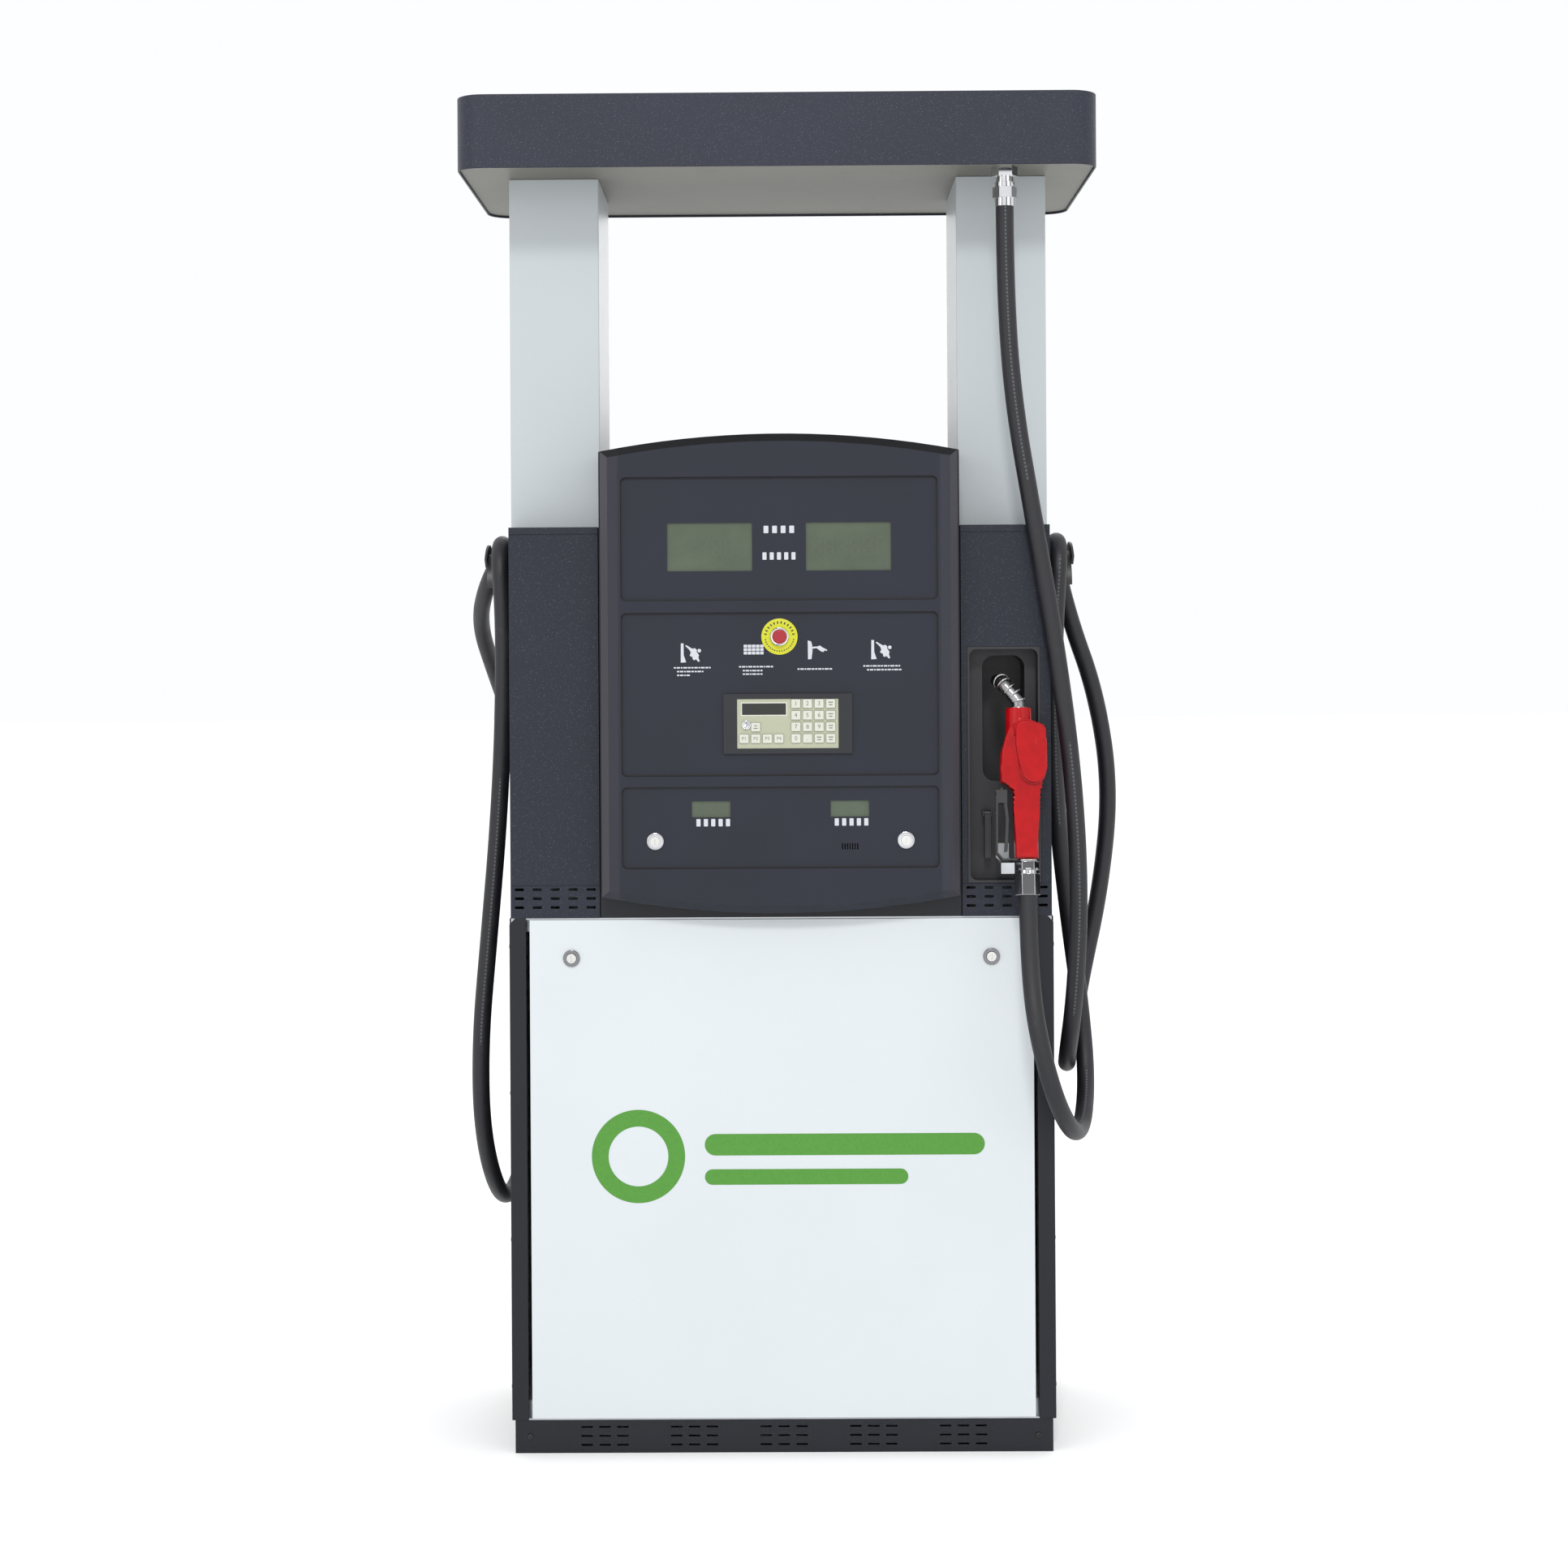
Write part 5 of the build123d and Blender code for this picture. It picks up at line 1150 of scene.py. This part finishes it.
# ------------------------------------------------------------------ keypad
KEY_PITCH = 0.0192
KEYS_X, KEYS_Z = 0.0168, 1.254
PRESETS_X = KEYS_X - 0.009
PLATE_HALF_W, PLATE_HALF_H = 0.0838, 0.0408
DISPLAY_DX, DISPLAY_DZ = -0.0393, 0.0242
LOCK_DX, LOCK_DZ = -0.0689, -0.0023
MAT_EASE = 0.00004      # how far each visible mat lies inward of its CAD place
KEY_LABELS = ["1", "2", "3", "", "4", "5", "6", "", "7", "8", "9", "", "0", ".", "", ""]
PRESET_LABELS = ["P4", "P3", "P2", "P1"]


class DISPENSER_OT_keypads(bpy.types.Operator):
    """Make the keypads with their keys, digits, small display and key lock"""
    bl_idname = "dispenser.keypads"
    bl_label = "Keypads"

    def execute(self, context):
        low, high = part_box("front_keypad_panel")
        self.face = low.y
        self.middle = ((low.x + high.x) / 2, (low.z + high.z) / 2)
        for side in SIDES:
            panel = softened(f"{side}_keypad_panel", "frame", 0.0012)
            self.pale_plate(panel, side)
            mat = softened(f"{side}_key_mat", "keys", 0.0009)
            mat.data.transform(Matrix.Translation(SIDES[side].to_3x3() @ Vector((0, MAT_EASE, 0))))
            self.plate(side)
            self.key_marks(side)
        return {"FINISHED"}

    def pale_plate(self, panel, side):
        """The sunk plate of the keypad has its own paint."""
        panel.data.materials.append(paint("plate"))
        back = SIDES[side].inverted()
        for face in panel.data.polygons:
            x, y, z = back @ face.center
            inside = abs(x - self.middle[0]) < PLATE_HALF_W and abs(z - self.middle[1]) < PLATE_HALF_H
            if inside and self.face + 0.0006 < y < self.face + 0.004:
                face.material_index = 1

    def plate(self, side):
        x, z = self.middle
        y = self.face + 0.001
        at_x, at_z = x + DISPLAY_DX, z + DISPLAY_DZ
        bm = bmesh.new()
        outline_solid(bm, rounded(at_x, at_z, 0.0767, 0.0228, 0.001, 3), y - 0.0003, 0.0002)
        finished(bm, f"{side}_keypad_display_rim", "keys", f"{side}_bezel", side)
        bm = bmesh.new()
        outline_solid(bm, rounded(at_x, at_z, 0.0727, 0.0188, 0.0006, 3), y - 0.0006, 0.0005)
        finished(bm, f"{side}_keypad_display", "lcd_dark", f"{side}_bezel", side)
        bm = bmesh.new()
        bm_disc(bm, (x + LOCK_DX, y - 0.003, z + LOCK_DZ), 0.0076, 0.003, 40, 0.0050, 0.001)
        bm_disc(bm, (x + LOCK_DX, y - 0.0018, z + LOCK_DZ), 0.0049, 0.0018, 32, 0.0009, 0.0006)
        finished(bm, f"{side}_keypad_lock", "chrome", f"{side}_bezel", side)

    def key_marks(self, side):
        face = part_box("front_key_mat")[0].y
        bm = bmesh.new()
        for index, label in enumerate(KEY_LABELS):
            column, row = index % 4, index // 4
            x = KEYS_X + KEY_PITCH * (column + 0.5)
            z = KEYS_Z - KEY_PITCH * row
            if label:
                words(label, f"{side}_key_mark_{index}", x, z, face, 0.0098, "grey_ink",
                      f"{side}_key_mat", side)
            else:
                for drop, w in ((0.0021, 0.0078), (-0.0021, 0.0058)):
                    outline_solid(bm, rounded(x, z + drop, w, 0.0016, 0.0004, 2), face - 0.00008, 0.0002)
        for k, label in enumerate(PRESET_LABELS):
            x = PRESETS_X - KEY_PITCH * (k + 0.5)
            words(label, f"{side}_preset_mark_{k}", x, KEYS_Z - 3 * KEY_PITCH, face, 0.0078, "grey_ink",
                  f"{side}_key_mat", side)
        x, z = PRESETS_X - KEY_PITCH * 2.5, KEYS_Z - 2 * KEY_PITCH
        for drop, w in ((0.0021, 0.0050), (-0.0021, 0.0072)):
            outline_solid(bm, rounded(x, z + drop, w, 0.0014, 0.0004, 2), face - 0.00008, 0.0002)
        finished(bm, f"{side}_key_bars", "grey_ink", f"{side}_key_mat", side)


# ------------------------------------------------------------------ nozzles
HANG_AT = (0.404, -0.250, 1.172)
HANG_LEAN = math.radians(-8.0)


def hang_matrix():
    return Matrix.Translation(HANG_AT) @ Matrix.Rotation(HANG_LEAN, 4, "X")


HOUSING = [(-26, 40), (-8, 46), (14, 46), (32, 41), (35, 34), (36, -20), (34, -38), (24, -55), (20, -66),
           (20, -178), (-18, -178), (-19, -120), (-14, -66), (-20, -58), (-40, -52), (-41, -28), (-39, -2),
           (-32, 20)]
FACE_PAD = [(-18, 41), (-10, 51), (6, 52.5), (31, 43), (35, 36), (36, 12), (36, -30), (32, -45), (25, -54),
            (15, -57), (3, -54), (-6, -46), (-10, -34), (-11, -18), (-15, 8)]
HOUSING_T = 0.036
PAD_FRONTS, PAD_T = (-0.0262, 0.0182), 0.008
SPRING_ROUTE = [(-8, 0, 74), (-8, 0, 86), (-14, 2, 96), (-24, 5, 106), (-31, 8, 114), (-35, 18, 120)]
COLLARS = [(-0.1815, -0.1783, 0.0165), (-0.1965, -0.1925, 0.0176)]


class DISPENSER_OT_nozzles(bpy.types.Operator):
    """Make both nozzles with spout, spring guard, lever, guard and swivel"""
    bl_idname = "dispenser.nozzles"
    bl_label = "Nozzles"

    def execute(self, context):
        for side in SIDES:
            self.casting(side)
            softened(f"{side}_nozzle_spout", "spout", 0.0005)
            softened(f"{side}_nozzle_guard", "gloss", 0.0012)
            softened(f"{side}_nozzle_lever", "gloss", 0.0018, 3)
            softened(f"{side}_nozzle_swivel", "chrome", 0.0012)
            self.spring(side)
            self.collars(side)
        return {"FINISHED"}

    def casting(self, side):
        """Housing, spout collar and raised pads run together as one enamelled casting."""
        bm = bmesh.new()
        outline_solid(bm, [(x * MM, z * MM) for x, z in HOUSING], -HOUSING_T / 2, HOUSING_T)
        edges = [e for e in bm.edges if abs(e.verts[0].co.y - e.verts[1].co.y) < 1e-6]
        bmesh.ops.bevel(bm, geom=edges, offset=0.008, segments=4, profile=0.6, affect="EDGES",
                        clamp_overlap=True)
        for front in PAD_FRONTS:
            pad = bmesh.new()
            outline_solid(pad, [(x * MM, z * MM) for x, z in FACE_PAD], front, PAD_T)
            rim = [e for e in pad.edges if abs(e.verts[0].co.y - e.verts[1].co.y) < 1e-6]
            bmesh.ops.bevel(pad, geom=rim, offset=0.0034, segments=2, affect="EDGES", clamp_overlap=True)
            spare = mesh_of("pad", pad)
            bm.from_mesh(spare)
            bpy.data.meshes.remove(spare)
        place = Matrix.Translation((-0.008, 0, 0.049))
        bmesh.ops.create_cone(bm, cap_ends=True, segments=48, radius1=0.0225, radius2=0.0212, depth=0.046,
                              matrix=place)
        bmesh.ops.recalc_face_normals(bm, faces=bm.faces)
        bmesh.ops.transform(bm, matrix=SIDES[side] @ hang_matrix(), verts=bm.verts)
        mesh = mesh_of("casting", bm)
        rough = link("casting", mesh)
        remesh = rough.modifiers.new("remesh", "REMESH")
        remesh.mode = "VOXEL"
        remesh.voxel_size = 0.0011
        ease = rough.modifiers.new("ease", "SMOOTH")
        ease.factor = 0.5
        ease.iterations = 5
        piece = settled(rough, f"{side}_nozzle_casting", paint("red"))
        piece.data.shade_smooth()
        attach(piece, f"{side}_nozzle")
        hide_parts(f"{side}_nozzle_body")

    def spring(self, side):
        place = SIDES[side] @ hang_matrix()
        path = path_object("spring_path", "NURBS", [place @ (Vector(at) * MM) for at in SPRING_ROUTE])
        grown(ring_tree, f"{side}_spout_spring", "steel", f"{side}_nozzle", "spout_steel", Path=path,
              Turns=sizes().spring_turns, Radius=0.0128, Wire=0.0014, Lean=0.16)
        bpy.data.objects.remove(path)

    def collars(self, side):
        """A bright steel spacer ring between handle and swivel, and a bright steel bead below it."""
        bm = bmesh.new()
        for z0, z1, r in COLLARS:
            rings = []
            for z, radius in ((z0, r - 0.0008), (z0 + 0.0006, r), (z1 - 0.0006, r), (z1, r - 0.0008)):
                rings.append([bm.verts.new((0.002 + radius * math.cos(math.pi * k / 20),
                                            radius * math.sin(math.pi * k / 20), z)) for k in range(40)])
            for first, second in zip(rings[:-1], rings[1:]):
                for k in range(40):
                    j = (k + 1) % 40
                    bm.faces.new((first[k], first[j], second[j], second[k]))
            bm.faces.new(rings[0])
            bm.faces.new(rings[-1])
        bmesh.ops.transform(bm, matrix=hang_matrix(), verts=bm.verts)
        finished(bm, f"{side}_nozzle_collar", "steel", f"{side}_nozzle", side)


# ------------------------------------------------------------------ fittings and works
class DISPENSER_OT_fittings(bpy.types.Operator):
    """Make hooks, outlets and the works inside the cabinet"""
    bl_idname = "dispenser.fittings"
    bl_label = "Fittings and works"

    def execute(self, context):
        softened("hose_hooks", "black", 0.0015)
        softened("hose_outlets", "chrome", 0.001)
        boards = softened("control_boards", "board", 0.0003)
        boards.data.materials.append(paint("galvanised"))
        for faces in sized_islands(boards.data)[:2]:
            for index in faces:
                boards.data.polygons[index].material_index = 1
        for node, coat in (("cabinet_frame", "galvanised"),
                           ("pump_unit", "cast"), ("flow_meters", "alloy"),
                           ("pipework", "galvanised"), ("drive_belt", "belt"), ("motor_pulley", "cast"),
                           ("pump_pulley", "cast"), ("drive_motor", "motor")):
            repaint(node, coat)
        self.motor_ribs()
        return {"FINISHED"}

    def motor_ribs(self):
        low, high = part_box("drive_motor")
        radius = (high.x - low.x) / 2
        middle = (low.x + high.x) / 2
        height = 0.240
        path = path_object("rib_path", "POLY",
                           [(middle, high.y - 0.03, height), (middle, high.y - 0.22, height)])
        grown(ring_tree, "motor_ribs", "motor", "root", "motor_paint", Path=path, Turns=13,
              Radius=radius, Wire=0.0035, Lean=0.0)
        bpy.data.objects.remove(path)


# ------------------------------------------------------------------ panel and registration
STEPS = [DISPENSER_OT_stage, DISPENSER_OT_hoses, DISPENSER_OT_shells, DISPENSER_OT_displays,
         DISPENSER_OT_keypads, DISPENSER_OT_nozzles, DISPENSER_OT_fittings]


class DISPENSER_PT_panel(bpy.types.Panel):
    """Lists the steps and the sizes"""
    bl_idname = "DISPENSER_PT_panel"
    bl_label = "Fuel Dispenser"
    bl_space_type = "VIEW_3D"
    bl_region_type = "UI"
    bl_category = "Dispenser"

    def draw(self, context):
        for step in STEPS:
            self.layout.operator(step.bl_idname)
        for group in (context.scene.dispenser_sizes, context.scene.dispenser_colours):
            box = self.layout.box()
            for key in group.__annotations__:
                box.prop(group, key)


CLASSES = [DispenserColours, DispenserSizes, *STEPS, DISPENSER_PT_panel]


def register():
    for cls in CLASSES:
        bpy.utils.register_class(cls)
    bpy.types.Scene.dispenser_sizes = PointerProperty(type=DispenserSizes)
    bpy.types.Scene.dispenser_colours = PointerProperty(type=DispenserColours)


def unregister():
    del bpy.types.Scene.dispenser_colours
    del bpy.types.Scene.dispenser_sizes
    for cls in reversed(CLASSES):
        bpy.utils.unregister_class(cls)


def main():
    register()
    bpy.ops.dispenser.stage()
    bpy.ops.dispenser.hoses()
    bpy.ops.dispenser.shells()
    bpy.ops.dispenser.displays()
    bpy.ops.dispenser.keypads()
    bpy.ops.dispenser.nozzles()
    bpy.ops.dispenser.fittings()


if __name__ == "__main__":
    main()
